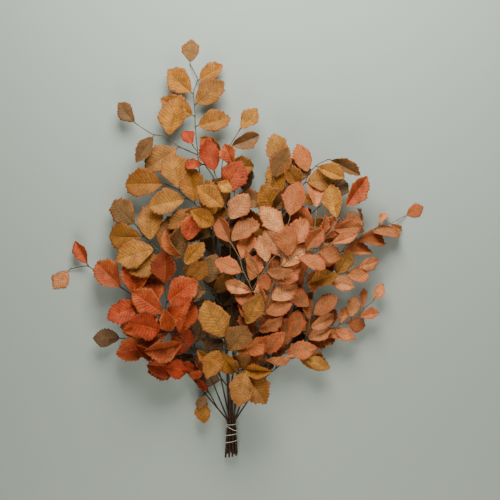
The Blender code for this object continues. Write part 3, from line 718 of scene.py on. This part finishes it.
def tube_surface(path, radii, sides, up=(0.0, 0.0, 1.0), ripple=0.0, ply=0, pitch=1.0):
    """A round tube along a path: at each point, radius times (cos a, sin a) square to the way.

    With plies the radius ripples round the tube and the ripple turns once in each pitch.
    """
    path, radii = np.asarray(path, float), np.asarray(radii, float)
    way = np.gradient(path, axis=0)
    way /= np.linalg.norm(way, axis=1)[:, None]
    up = np.broadcast_to(np.asarray(up, float), path.shape)
    first = up - way * np.sum(up * way, axis=1)[:, None]
    first /= np.linalg.norm(first, axis=1)[:, None]
    second = np.cross(way, first)
    turn = 2 * np.pi * np.arange(sides) / sides
    radius = radii[:, None] * np.ones(sides)
    if ply:
        gone = np.concatenate([[0], np.cumsum(np.linalg.norm(np.diff(path, axis=0), axis=1))])
        wound = 2 * np.pi * gone[:, None] / pitch
        radius = radius * (1 - ripple + ripple * np.abs(np.cos(0.5 * ply * (turn - wound))))
    return (path[:, None] + first[:, None] * (radius * np.cos(turn))[..., None]
            + second[:, None] * (radius * np.sin(turn))[..., None])


# a petiole is thicker at its twig and runs on a little way under the blade
PETIOLE_RINGS = 6
PETIOLE_AROUND = 6
PETIOLE_RADII = (0.7, 0.45)
UNDER_BLADE = 2.0


def petiole_path(leaf):
    """The petiole's line: a quadratic curve from the twig's axis to the blade, on under its rib."""
    t = np.linspace(0, 1, PETIOLE_RINGS)[:, None]
    root, foot = np.array(leaf.root), np.array(leaf.foot)
    way, face = np.array(leaf.way), np.array(leaf.face)
    middle = root + way * 0.45 * PETIOLE
    end = foot + way * UNDER_BLADE + face * (-0.25 if leaf.wave else 0.1)
    return (1 - t) ** 2 * root + 2 * t * (1 - t) * middle + t ** 2 * end


def linear(colour):
    """An sRGB hex colour as linear light: c/12.92 when dark, else ((c+0.055)/1.055)^2.4."""
    srgb = np.array([int(colour[i:i + 2], 16) / 255 for i in (1, 3, 5)])
    light = np.where(srgb <= 0.04045, srgb / 12.92, ((srgb + 0.055) / 1.055) ** 2.4)
    return np.append(light, 1.0)


def add(tree, kind, inputs, out=0, **settings):
    """Adds a shader node with its settings, and gives the output named by out.

    Each input is a value, or another node's output to link. Where a node repeats a name its
    inputs go by number: Mix has its share at 0 and its colours at 6 and 7, and Map Range its
    value at 0, its limits at 1 and 2 and what they become at 3 and 4.
    """
    made = tree.nodes.new("ShaderNode" + kind)
    for key, value in settings.items():
        setattr(made, key, value)
    for key, value in inputs.items():
        if isinstance(value, bpy.types.NodeSocket):
            tree.links.new(value, made.inputs[key])
        else:
            made.inputs[key].default_value = value
    return made.outputs[out]


def new_material(name, roughness):
    """A material with its node tree and its shader, whose roughness is the same all over."""
    made = bpy.data.materials.new(name)
    made.use_nodes = True
    shader = made.node_tree.nodes["Principled BSDF"]
    shader.inputs["Roughness"].default_value = roughness
    shader.inputs["Specular IOR Level"].default_value = SPECULAR
    return made, made.node_tree, shader


# what each leaf is tinted: near one of its kind's colours, with its own blush at the edge; the
# first three are the fresher ones
LEAF_COLOURS = {
    "ochre": (["#C28234", "#A2692A", "#CA8E3E", "#7A5E3E", "#AE7430", "#886840"],
              ["#8C4A20", "#9E5424"]),
    "rust": (["#B24220", "#9C3618", "#C4562C", "#883A1E"], ["#7C2C18", "#C86E36"]),
    "salmon": (["#D08250", "#C06C3A", "#DC9660", "#B06034"], ["#D2542A", "#B44C26"]),
    # brown leaves are darker than the rest: partly their own dry brown, partly painted shade of the
    # mass above them
    "brown": (["#76563A", "#624630", "#866440", "#56402C"], ["#463020", "#543822"]),
}


def leaf_material(name, rib_paint, vein_paint, speckle, spots, rough):
    """A dried leaf: tinted tissue with fine cells, veins, a blush at its edge and dry brown spots.

    Each paint is a colour and its share, for the midrib and for the side veins, speckle is the
    share of the midrib's colour in the tissue's specks, and spots is how strong the noise has to
    be for a dry spot. The chart's first number is the place across the blade and its second
    counts the side veins.
    """
    made, tree, shader = new_material(name, rough)
    tint = add(tree, "Attribute", {}, "Color", attribute_name="tint")
    blush = add(tree, "Attribute", {}, "Color", attribute_name="blush")
    under = add(tree, "Attribute", {}, "Fac", attribute_name="under")
    place = add(tree, "TexCoord", {}, "Object")
    chart = add(tree, "UVMap", {}, uv_map="blade")
    # each noise has its real size in millimetres, from a patch of the blade to its smallest cells
    patches, blotches, mottle, crinkle, spread, specks, cells = [
        add(tree, "TexNoise", {"Vector": place, "Scale": 1 / (size * MM), "Detail": detail})
        for size, detail in ((13, 3), (9, 2), (3, 5), (2.4, 2), (5.5, 5), (1.7, 3), (0.9, 2))]

    across = add(tree, "SeparateXYZ", {0: chart}, "X")
    across = add(tree, "Math", {0: across, 1: 2.0, 2: -1.0}, operation="MULTIPLY_ADD")
    from_rib = add(tree, "Math", {0: across}, operation="ABSOLUTE")
    count = add(tree, "SeparateXYZ", {0: chart}, "Y")
    count = add(tree, "Math", {0: count, 1: CHART_VEINS}, operation="MULTIPLY")
    from_vein = add(tree, "Math", {0: count, 1: 0.5}, operation="PINGPONG")

    # the tissue is darker along the veins and unevenly dried
    shade = add(tree, "MapRange", {0: patches, 1: 0.3, 2: 0.7, 3: 0.7, 4: 1.24})
    for value, low, high, dark, light in ((mottle, 0.3, 0.7, 0.72, 1.24),
                                          (cells, 0.3, 0.7, 0.94, 1.06),
                                          (from_vein, 0.0, 0.3, 0.82, 1.06)):
        part = add(tree, "MapRange", {0: value, 1: low, 2: high, 3: dark, 4: light})
        shade = add(tree, "Math", {0: shade, 1: part}, operation="MULTIPLY")
    colour = add(tree, "Mix", {0: 1.0, 6: tint, 7: shade}, 2, data_type="RGBA", blend_type="MULTIPLY")

    # the blush runs in from the edge and stands in blotches
    edge = add(tree, "Math", {0: from_rib, 1: 3.0}, operation="POWER")
    broken = add(tree, "MapRange", {0: mottle, 1: 0.35, 2: 0.6, 3: 0.2, 4: 0.9})
    edge = add(tree, "Math", {0: edge, 1: broken}, operation="MULTIPLY")
    blotch = add(tree, "MapRange", {0: blotches, 1: 0.52, 2: 0.75, 3: 0.0, 4: 0.65})
    edge = add(tree, "Math", {0: edge, 1: blotch}, operation="MAXIMUM")
    colour = add(tree, "Mix", {0: edge, 6: colour, 7: blush}, 2, data_type="RGBA")

    # fine specks of the rib's colour all over, and dry spots, mostly away from the rib
    speck = add(tree, "MapRange", {0: specks, 1: 0.48, 2: 0.68, 4: speckle})
    colour = add(tree, "Mix", {0: speck, 6: colour, 7: linear(rib_paint[0])}, 2, data_type="RGBA")
    dry = add(tree, "MapRange", {0: spread, 1: spots, 2: spots + 0.07})
    away = add(tree, "MapRange", {0: from_rib, 3: 0.3, 4: 0.75})
    dry = add(tree, "Math", {0: dry, 1: away}, operation="MULTIPLY")
    colour = add(tree, "Mix", {0: dry, 6: colour, 7: linear("#54351E")}, 2, data_type="RGBA")

    # a side vein is 0.3 mm wide and is drawn about 0.6 mm, to show at the picture's scale
    vein = add(tree, "MapRange", {0: from_vein, 1: 0.13, 2: 0.04, 4: vein_paint[1]})
    colour = add(tree, "Mix", {0: vein, 6: colour, 7: linear(vein_paint[0])}, 2, data_type="RGBA")
    rib = add(tree, "MapRange", {0: from_rib, 1: 0.055, 2: 0.02, 4: rib_paint[1]})
    colour = add(tree, "Mix", {0: rib, 6: colour, 7: linear(rib_paint[0])}, 2, data_type="RGBA")
    pale = add(tree, "Math", {0: under, 1: 0.25}, operation="MULTIPLY")
    colour = add(tree, "Mix", {0: pale, 6: colour, 7: linear("#B79A74")}, 2, data_type="RGBA")

    height = add(tree, "Math", {0: crinkle, 1: 1.1}, operation="MULTIPLY")
    height = add(tree, "Math", {0: cells, 1: 0.35, 2: height}, operation="MULTIPLY_ADD")
    height = add(tree, "Math", {0: vein, 1: -1.5, 2: height}, operation="MULTIPLY_ADD")
    bump = add(tree, "Bump", {"Height": height, "Strength": 0.6, "Distance": 0.5 * MM})
    tree.links.new(colour, shader.inputs["Base Color"])
    tree.links.new(bump, shader.inputs["Normal"])
    return made


# dried leaf tissue keeps its wax and is satin; rust leaves keep paler ribs than their tissue
LEAF_MATERIALS = {
    "ochre": leaf_material("ochre dried leaf", ("#6E4A1E", 0.5), ("#6E4A1E", 0.25), 0.4, 0.61, 0.6),
    "rust": leaf_material("rust dried leaf", ("#CC7440", 0.4), ("#6A2412", 0.22), 0.16, 0.62, 0.6),
    "salmon": leaf_material("salmon dried leaf", ("#A08050", 0.45), ("#94562C", 0.3), 0.4, 0.63, 0.6),
    "brown": leaf_material("brown dried leaf", ("#9A7A50", 0.3), ("#44301A", 0.3), 0.3, 0.6, 0.64),
}

# leaves that have another colour than their stem's, by their place in the picture that the
# bunch was studied from: across and down in a frame 500 wide
Accent = namedtuple("Accent", "across down colour")
ACCENTS = [
    Accent(319, 288, "ochre"), Accent(349, 272, "ochre"), Accent(314, 363, "ochre"),
    Accent(211, 198, "ochre"), Accent(213, 175, "ochre"), Accent(320, 153, "salmon"),
    Accent(342, 186, "brown"), Accent(325, 200, "ochre"), Accent(352, 198, "rust"),
    Accent(188, 230, "rust"), Accent(181, 247, "salmon"), Accent(186, 137, "rust"),
    Accent(105, 340, "brown"), Accent(198, 407, "brown"), Accent(59, 277, "salmon"),
    Accent(246, 350, "salmon"), Accent(268, 375, "ochre"), Accent(313, 374, "ochre"),
    Accent(236, 200, "salmon"), Accent(243, 222, "salmon"), Accent(203, 416, "ochre"),
]
# millimetres to a pixel, the bundle's axis and cut ends in the picture, and its middle
PICTURE_SCALE = 1.65
PICTURE_LEFT, PICTURE_FOOT = 231, 462
PICTURE_MIDDLE = 250
# how near a leaf has to be to take an accent, and how much a higher leaf is preferred
NEAR_ENOUGH = 26
HEIGHT_PULL = 0.35
# a leaf is covered by those within so many pixels and so many millimetres above it, and each of the
# first few paints it darker, as painted shade of the leaves over it
COVER_REACH = 15
COVER_STEP = 7
PAINTED_COVER_SHADE = 0.86
MOST_COVERS = 4


def middle_of(leaf):
    """Where the middle of a leaf is in the picture, across and down, and how high it lies."""
    middle = leaf.foot + leaf.way * 0.5 * leaf.length
    return np.array([middle.x / PICTURE_SCALE + PICTURE_LEFT,
                     PICTURE_FOOT - middle.y / PICTURE_SCALE, middle.z])


def cover_of(place, others):
    """How many leaves lie over a place: their middles are near it across and well above it."""
    apart = np.hypot(*(others - place)[:, :2].T)
    return int(np.sum((apart < COVER_REACH) & (others[:, 2] > place[2] + COVER_STEP)))


def apart(place, accent):
    """How far a leaf's place is from an accent's in the picture."""
    return math.hypot(place[0] - accent.across, place[1] - accent.down)


coloured = {(name, i): None for name in leaves for i in range(len(leaves[name]))}
places = {(name, i): middle_of(leaves[name][i]) for name, i in coloured}
middles = np.array(list(places.values()))
covers = {key: cover_of(place, middles) for key, place in places.items()}
for accent in ACCENTS:
    free = [key for key in coloured if coloured[key] is None]
    misfits = [apart(places[key], accent) - HEIGHT_PULL * places[key][2] for key in free]
    best = free[misfits.index(min(misfits))]
    if apart(places[best], accent) < NEAR_ENOUGH:
        coloured[best] = accent.colour

# The twigs
# Beech twigs, smooth and grey-brown, dark where they are bundled and paler towards their tips.
# They zigzag from node to node, swell a little at each, and the stems' feet are cut square.
RING_STEP = 4.5
TWIG_AROUND = 8
NODE_SWELL = 0.36
NODE_REACH = 2.0
BUD_LENGTH = 7.5
BUD_RADIUS = 0.95
BUD_TIP = 0.12
BUD_AROUND = 6
# twigs get thinner between two places along the bunch, down to a share, and their bark paler
THINNING = (60.0, 150.0, 0.78)
BARK_PALES = (70.0, 380.0)


def twig_line(path, radii, roots):
    """A twig's path in even short steps with its radii, wider near each leaf's root.

    The radius is the taper times 1 + 0.36 exp(-(distance to the nearest root / 2 mm)^2). Above
    the foot the twigs are drawn a fifth thinner than the solids, as fine as the real ones.
    """
    points = np.array([tuple(p) for p in path])
    gone = np.concatenate([[0], np.cumsum(np.linalg.norm(np.diff(points, axis=0), axis=1))])
    steps = np.linspace(0, gone[-1], max(4, round(gone[-1] / RING_STEP)))
    line = np.stack([np.interp(steps, gone, points[:, k]) for k in range(3)], axis=1)
    line[1:-1] = 0.25 * line[:-2] + 0.5 * line[1:-1] + 0.25 * line[2:]
    width = np.interp(steps, gone, radii) * np.interp(line[:, 1], THINNING[:2], (1, THINNING[2]))
    if len(roots):
        nearest = np.linalg.norm(line[:, None] - roots[None], axis=2).min(axis=1)
        width = width * (1 + NODE_SWELL * np.exp(-(nearest / NODE_REACH) ** 2))
    return line, width


def bud(leaf):
    """A pointed winter bud in the leaf's axil: its radius is sin(pi t^0.7)^0.8 along its length."""
    t = np.linspace(0, 1, 7)[:, None]
    root = np.array(leaf.root + leaf.way * PETIOLE_SINK)
    face = np.array(leaf.face)
    way = np.array(leaf.way) * 0.7 + face * 0.5
    line = root + way * (0.6 + BUD_LENGTH * t) + face * 0.9 * t ** 2
    return line, BUD_TIP + BUD_RADIUS * np.sin(np.pi * t[:, 0] ** 0.7) ** 0.8


def bark_material():
    """Smooth young beech bark, tinted by stem, with fine streaks and pale dots, dark at the foot."""
    made, tree, shader = new_material("young beech bark", 0.62)
    tint = add(tree, "Attribute", {}, "Color", attribute_name="tint")
    place = add(tree, "TexCoord", {}, "Object")
    level = add(tree, "SeparateXYZ", {0: place}, "Y")
    low, high = ((y + MOVED[1]) * MM for y in BARK_PALES)
    rise = add(tree, "MapRange", {0: level, 1: low, 2: high})
    bark = add(tree, "Mix", {0: rise, 6: linear("#3E2B20"), 7: tint}, 2, data_type="RGBA")
    streaks = add(tree, "TexNoise", {"Vector": place, "Scale": 1 / (1.7 * MM), "Detail": 4.0})
    shade = add(tree, "MapRange", {0: streaks, 1: 0.3, 2: 0.7, 3: 0.72, 4: 1.2})
    bark = add(tree, "Mix", {0: 1.0, 6: bark, 7: shade}, 2, data_type="RGBA", blend_type="MULTIPLY")
    dots = add(tree, "TexVoronoi", {"Vector": place, "Scale": 1 / (2.4 * MM)})
    dot = add(tree, "MapRange", {0: dots, 1: 0.22, 2: 0.12})
    bark = add(tree, "Mix", {0: dot, 6: bark, 7: linear("#9A8468")}, 2, data_type="RGBA")
    bump = add(tree, "Bump", {"Height": streaks, "Strength": 0.6, "Distance": 0.3 * MM})
    tree.links.new(bark, shader.inputs["Base Color"])
    tree.links.new(bump, shader.inputs["Normal"])
    return made


def fibre_material(name, size, dark, light, roughness):
    """A fine fibrous stuff in two close colours, in grains of a size in millimetres."""
    made, tree, shader = new_material(name, roughness)
    place = add(tree, "TexCoord", {}, "Object")
    grain = add(tree, "TexNoise", {"Vector": place, "Scale": 1 / (size * MM), "Detail": 3.0})
    share = add(tree, "MapRange", {0: grain, 1: 0.3, 2: 0.7})
    colour = add(tree, "Mix", {0: share, 6: linear(dark), 7: linear(light)}, 2, data_type="RGBA")
    bump = add(tree, "Bump", {"Height": grain, "Strength": 0.5, "Distance": 0.2 * MM})
    tree.links.new(colour, shader.inputs["Base Color"])
    tree.links.new(bump, shader.inputs["Normal"])
    return made


# bark is smooth and dull; the square cuts show pale beech wood, dry and matt
BARK = bark_material()
CUT_WOOD = fibre_material("cut beech wood", 0.7, "#A98A62", "#CDB48A", 0.75)


def put_mesh(name, skins, materials):
    """One mesh from closed skins, each with its vertices, chart, tints and material number."""
    vertices = np.concatenate([s["points"].reshape(-1, 3) for s in skins])
    sizes = [s["points"].shape[0] * s["points"].shape[1] for s in skins]
    faces = [ringed(s["points"]) for s in skins]
    starts = np.cumsum([0] + sizes)
    quads = np.concatenate([f + start for f, start in zip(faces, starts)])
    mesh = bpy.data.meshes.new(name)
    mesh.vertices.add(len(vertices))
    mesh.vertices.foreach_set("co", ((vertices + MOVED) * MM).astype(np.float32).ravel())
    mesh.loops.add(quads.size)
    mesh.loops.foreach_set("vertex_index", quads.astype(np.int32).ravel())
    mesh.polygons.add(len(quads))
    mesh.polygons.foreach_set("loop_start", np.arange(0, quads.size, 4, dtype=np.int32))
    numbers = np.concatenate([np.full(len(f), s["material"]) for f, s in zip(faces, skins)])
    for s, start in zip(skins, np.cumsum([0] + [len(f) for f in faces])):
        if s.get("cut_foot"):
            numbers[start:start + s["points"].shape[1] // 2 - 1] = s["cut_foot"]
    mesh.polygons.foreach_set("material_index", numbers.astype(np.int32))
    mesh.update(calc_edges=True)
    mesh.polygons.foreach_set("use_smooth", np.ones(len(quads), bool))
    chart = np.concatenate([s["chart"].reshape(-1, 2) for s in skins])[quads.ravel()]
    layer = mesh.uv_layers.new(name="blade")
    layer.data.foreach_set("uv", chart.astype(np.float32).ravel())
    for key in ("tint", "blush"):
        values = np.concatenate([np.tile(s[key], (size, 1)) for s, size in zip(skins, sizes)])
        layer = mesh.attributes.new(key, "FLOAT_COLOR", "POINT")
        layer.data.foreach_set("color", values.astype(np.float32).ravel())
    under = np.concatenate([s["under"].ravel() for s in skins])
    layer = mesh.attributes.new("under", "FLOAT", "POINT")
    layer.data.foreach_set("value", under.astype(np.float32))
    for material in materials:
        mesh.materials.append(material)
    made = bpy.data.objects.new(name, mesh)
    bpy.context.scene.collection.objects.link(made)
    return made


def plain_skin(points, material, tint, **more):
    """A skin with no chart of its own, for bark, which is patterned by its place alone."""
    return {"points": points, "material": material, "chart": np.zeros(points.shape[:2] + (2,)),
            "tint": tint, "blush": tint, "under": np.zeros(points.shape[:2]), **more}


# The leafy stems
# Each stem is one piece, as it grew: its twigs with their bark, and its leaves on them. It takes
# the place of its coarse solid and rides with the whole bunch.
FINISH_ORDER = ["ochre", "rust", "salmon", "brown"]
BARK_NUMBER = len(FINISH_ORDER)
CUT_NUMBER = BARK_NUMBER + 1
# a leaf of another colour than its stem's is fresh; any leaf mixes two colours of its kind, up to
# this share of the second, and is lighter or darker by a drawn share
FRESH_COLOURS = 3
MOST_MIXED = 0.6
LIGHTNESS = (0.7, 1.24)
BARK_TINTS = {"ochre": "#5C5240", "rust": "#5E4C3A", "salmon": "#8A7452", "brown": "#4C3E2E"}

for number, stem in enumerate(STEMS):
    chance = np.random.default_rng(100 + number)
    roots = np.array([tuple(leaf.root) for leaf in leaves[stem.name]])
    skins = []
    bark = linear(BARK_TINTS[stem.finish])
    for k, (line, run, path, radii) in enumerate(grown[stem.name]):
        surface = tube_surface(*twig_line(path, radii, roots), TWIG_AROUND)
        skins.append(plain_skin(surface, BARK_NUMBER, bark, cut_foot=0 if k else CUT_NUMBER))
    for i, leaf in enumerate(leaves[stem.name]):
        finish = coloured[(stem.name, i)] or stem.finish
        bodies, edges = LEAF_COLOURS[finish]
        bodies = bodies[:FRESH_COLOURS] if coloured[(stem.name, i)] else bodies
        a, b = chance.choice(bodies, 2, replace=False)
        share, light = MOST_MIXED * chance.random() ** 2, chance.uniform(*LIGHTNESS)
        # leaves under others are painted darker, as painted shade of the leaves over them
        light = light * PAINTED_COVER_SHADE ** min(covers[(stem.name, i)], MOST_COVERS)
        tint = (linear(a) * (1 - share) + linear(b) * share) * light
        pairs = next(count for length, count in VEIN_PAIRS if leaf.length > length)
        points, chart, under = leaf_blade(leaf, pairs, chance)
        skins.append({"points": points, "chart": chart, "under": under, "tint": tint,
                      "blush": linear(chance.choice(edges)), "material": FINISH_ORDER.index(finish)})
        stalk = tube_surface(petiole_path(leaf), np.linspace(*PETIOLE_RADII, PETIOLE_RINGS),
                             PETIOLE_AROUND)
        skins.append(plain_skin(stalk, BARK_NUMBER, bark))
        if leaf.wave:
            surface = tube_surface(*bud(leaf), BUD_AROUND, up=tuple(leaf.right))
            skins.append(plain_skin(surface, BARK_NUMBER, bark))
    materials = [LEAF_MATERIALS[finish] for finish in FINISH_ORDER] + [BARK, CUT_WOOD]
    spray = put_mesh(stem.name + "_spray", skins, materials)
    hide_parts(stem.name)
    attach(spray, "root")

# The tie
# A thin pale cotton cord of three plies, wound four times round the bare stems, tight at the
# waist and looser towards the cut ends. The second turn lies aslant over the others.
CORD_RADIUS = TIE_RADIUS * 1.05
CORD_STEP = 0.45
CORD_AROUND = 12
CORD_PLIES = 3
CORD_PITCH = 4.2
CORD_RIPPLE = 0.22
# the cord lies a little further out than the solid's, and its points are counted for a wide turn
CORD_CLEAR = 1.02
WIDE_TURN = 1.6
# how far the aslant turn leans, and where along the cord it is and how much of it, as shares
CORD_SLANT = 6.5
SLANTED = (0.33, 0.13)


def cord_line():
    """A helix round the bundle: its radius follows the spread of the stems at each height.

    The second turn lies aslant, by 6.5 exp(-((t - 0.33) / 0.13)^2) mm to each side.
    """
    t = np.linspace(0, 1, round(2 * math.pi * TIE_TURNS * OUTER_RING * WIDE_TURN / CORD_STEP))
    y = TIE_FROM_ENDS + (TIE_LOOSE_END - TIE_FROM_ENDS) * t ** 1.4
    turn = 2 * math.pi * TIE_TURNS * t
    slant = CORD_SLANT * np.exp(-((t - SLANTED[0]) / SLANTED[1]) ** 2)
    y = y - slant * np.cos(turn)
    spread = 1 + (SPLAY - 1) * np.maximum(0, TIE_FROM_ENDS - y) / TIE_FROM_ENDS
    radius = (OUTER_RING * spread + STEM_RADIUS + TIE_GAP + TIE_RADIUS) * CORD_CLEAR
    outward = np.stack([np.cos(turn), 0 * turn, np.sin(turn)], axis=1)
    middle = np.stack([0 * y, y, 0 * y + AXIS_HEIGHT], axis=1)
    return middle + outward * radius[:, None], outward


# undyed cotton is matt and off-white, darker between its plies
COTTON = fibre_material("cotton cord", 0.4, "#C9C1B2", "#F2EEE4", 0.85)

line, outward = cord_line()
surface = tube_surface(line, np.full(len(line), CORD_RADIUS), CORD_AROUND, up=outward,
                       ripple=CORD_RIPPLE, ply=CORD_PLIES, pitch=CORD_PITCH)
cord = put_mesh("tie_cord", [plain_skin(surface, 0, linear("#E0DACB"))], [COTTON])
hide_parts("tie")
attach(cord, "root")

# The surface, the light and the camera
# A smooth pale grey-green paper sweep lies under the bunch. One large soft lamp hangs beyond the
# bunch's tip, a weak one fills from its foot, and the camera looks straight down.
# sizes here are metres; the paper lies just under the bunch
FLOOR_HALF = 6.0
FLOOR_LEVEL = -0.0002
SKY_STRENGTH = 0.1
# the view is so wide at a level in the middle of the bunch's depth
CAMERA_HEIGHT = 2.05
VIEW_LEVEL = 0.05
VIEW_WIDTH = 0.825
SENSOR = 36.0

# matt paper is even and pale, with hardly any texture
PAPER = fibre_material("studio paper", 1.5, "#A8B4AB", "#ADB9B0", 0.9)

floor_mesh = bpy.data.meshes.new("sweep")
floor_mesh.from_pydata([(x * FLOOR_HALF, y * FLOOR_HALF, FLOOR_LEVEL)
                        for x, y in ((-1, -1), (1, -1), (1, 1), (-1, 1))], [], [(0, 1, 2, 3)])
floor_mesh.materials.append(PAPER)
sweep = bpy.data.objects.new("sweep", floor_mesh)
bpy.context.scene.collection.objects.link(sweep)


def soft_lamp(name, place, target, size, watts, colour):
    """A square area lamp at a place, turned to shine at a target."""
    data = bpy.data.lights.new(name, "AREA")
    data.size = size
    data.energy = watts
    data.color = tuple(linear(colour)[:3])
    lamp = bpy.data.objects.new(name, data)
    lamp.location = place
    lamp.rotation_euler = (Vector(target) - Vector(place)).to_track_quat("-Z", "Y").to_euler()
    bpy.context.scene.collection.objects.link(lamp)
    return lamp


key = soft_lamp("key", place=(0.04, 0.82, 0.74), target=(0.22, 0.42, 0), size=0.7, watts=20.5,
                colour="#FFFCF6")
fill = soft_lamp("fill", place=(0.05, -1.1, 0.9), target=(0.2, -0.3, 0), size=1.0, watts=12.0,
                 colour="#FFFBF2")

world = bpy.data.worlds.new("studio")
world.use_nodes = True
sky = world.node_tree.nodes["Background"]
sky.inputs["Color"].default_value = linear("#E8ECEA")
sky.inputs["Strength"].default_value = SKY_STRENGTH
bpy.context.scene.world = world

# the camera looks straight down on the middle of the picture
centre_x = (PICTURE_MIDDLE - PICTURE_LEFT) * PICTURE_SCALE * MM + MOVED[0] * MM
centre_y = (PICTURE_FOOT - PICTURE_MIDDLE) * PICTURE_SCALE * MM + MOVED[1] * MM
camera_data = bpy.data.cameras.new("camera")
camera_data.sensor_width = SENSOR
camera_data.lens = SENSOR * (CAMERA_HEIGHT - VIEW_LEVEL) / VIEW_WIDTH
camera = bpy.data.objects.new("camera", camera_data)
camera.location = (centre_x, centre_y, CAMERA_HEIGHT)
bpy.context.scene.collection.objects.link(camera)
bpy.context.scene.camera = camera
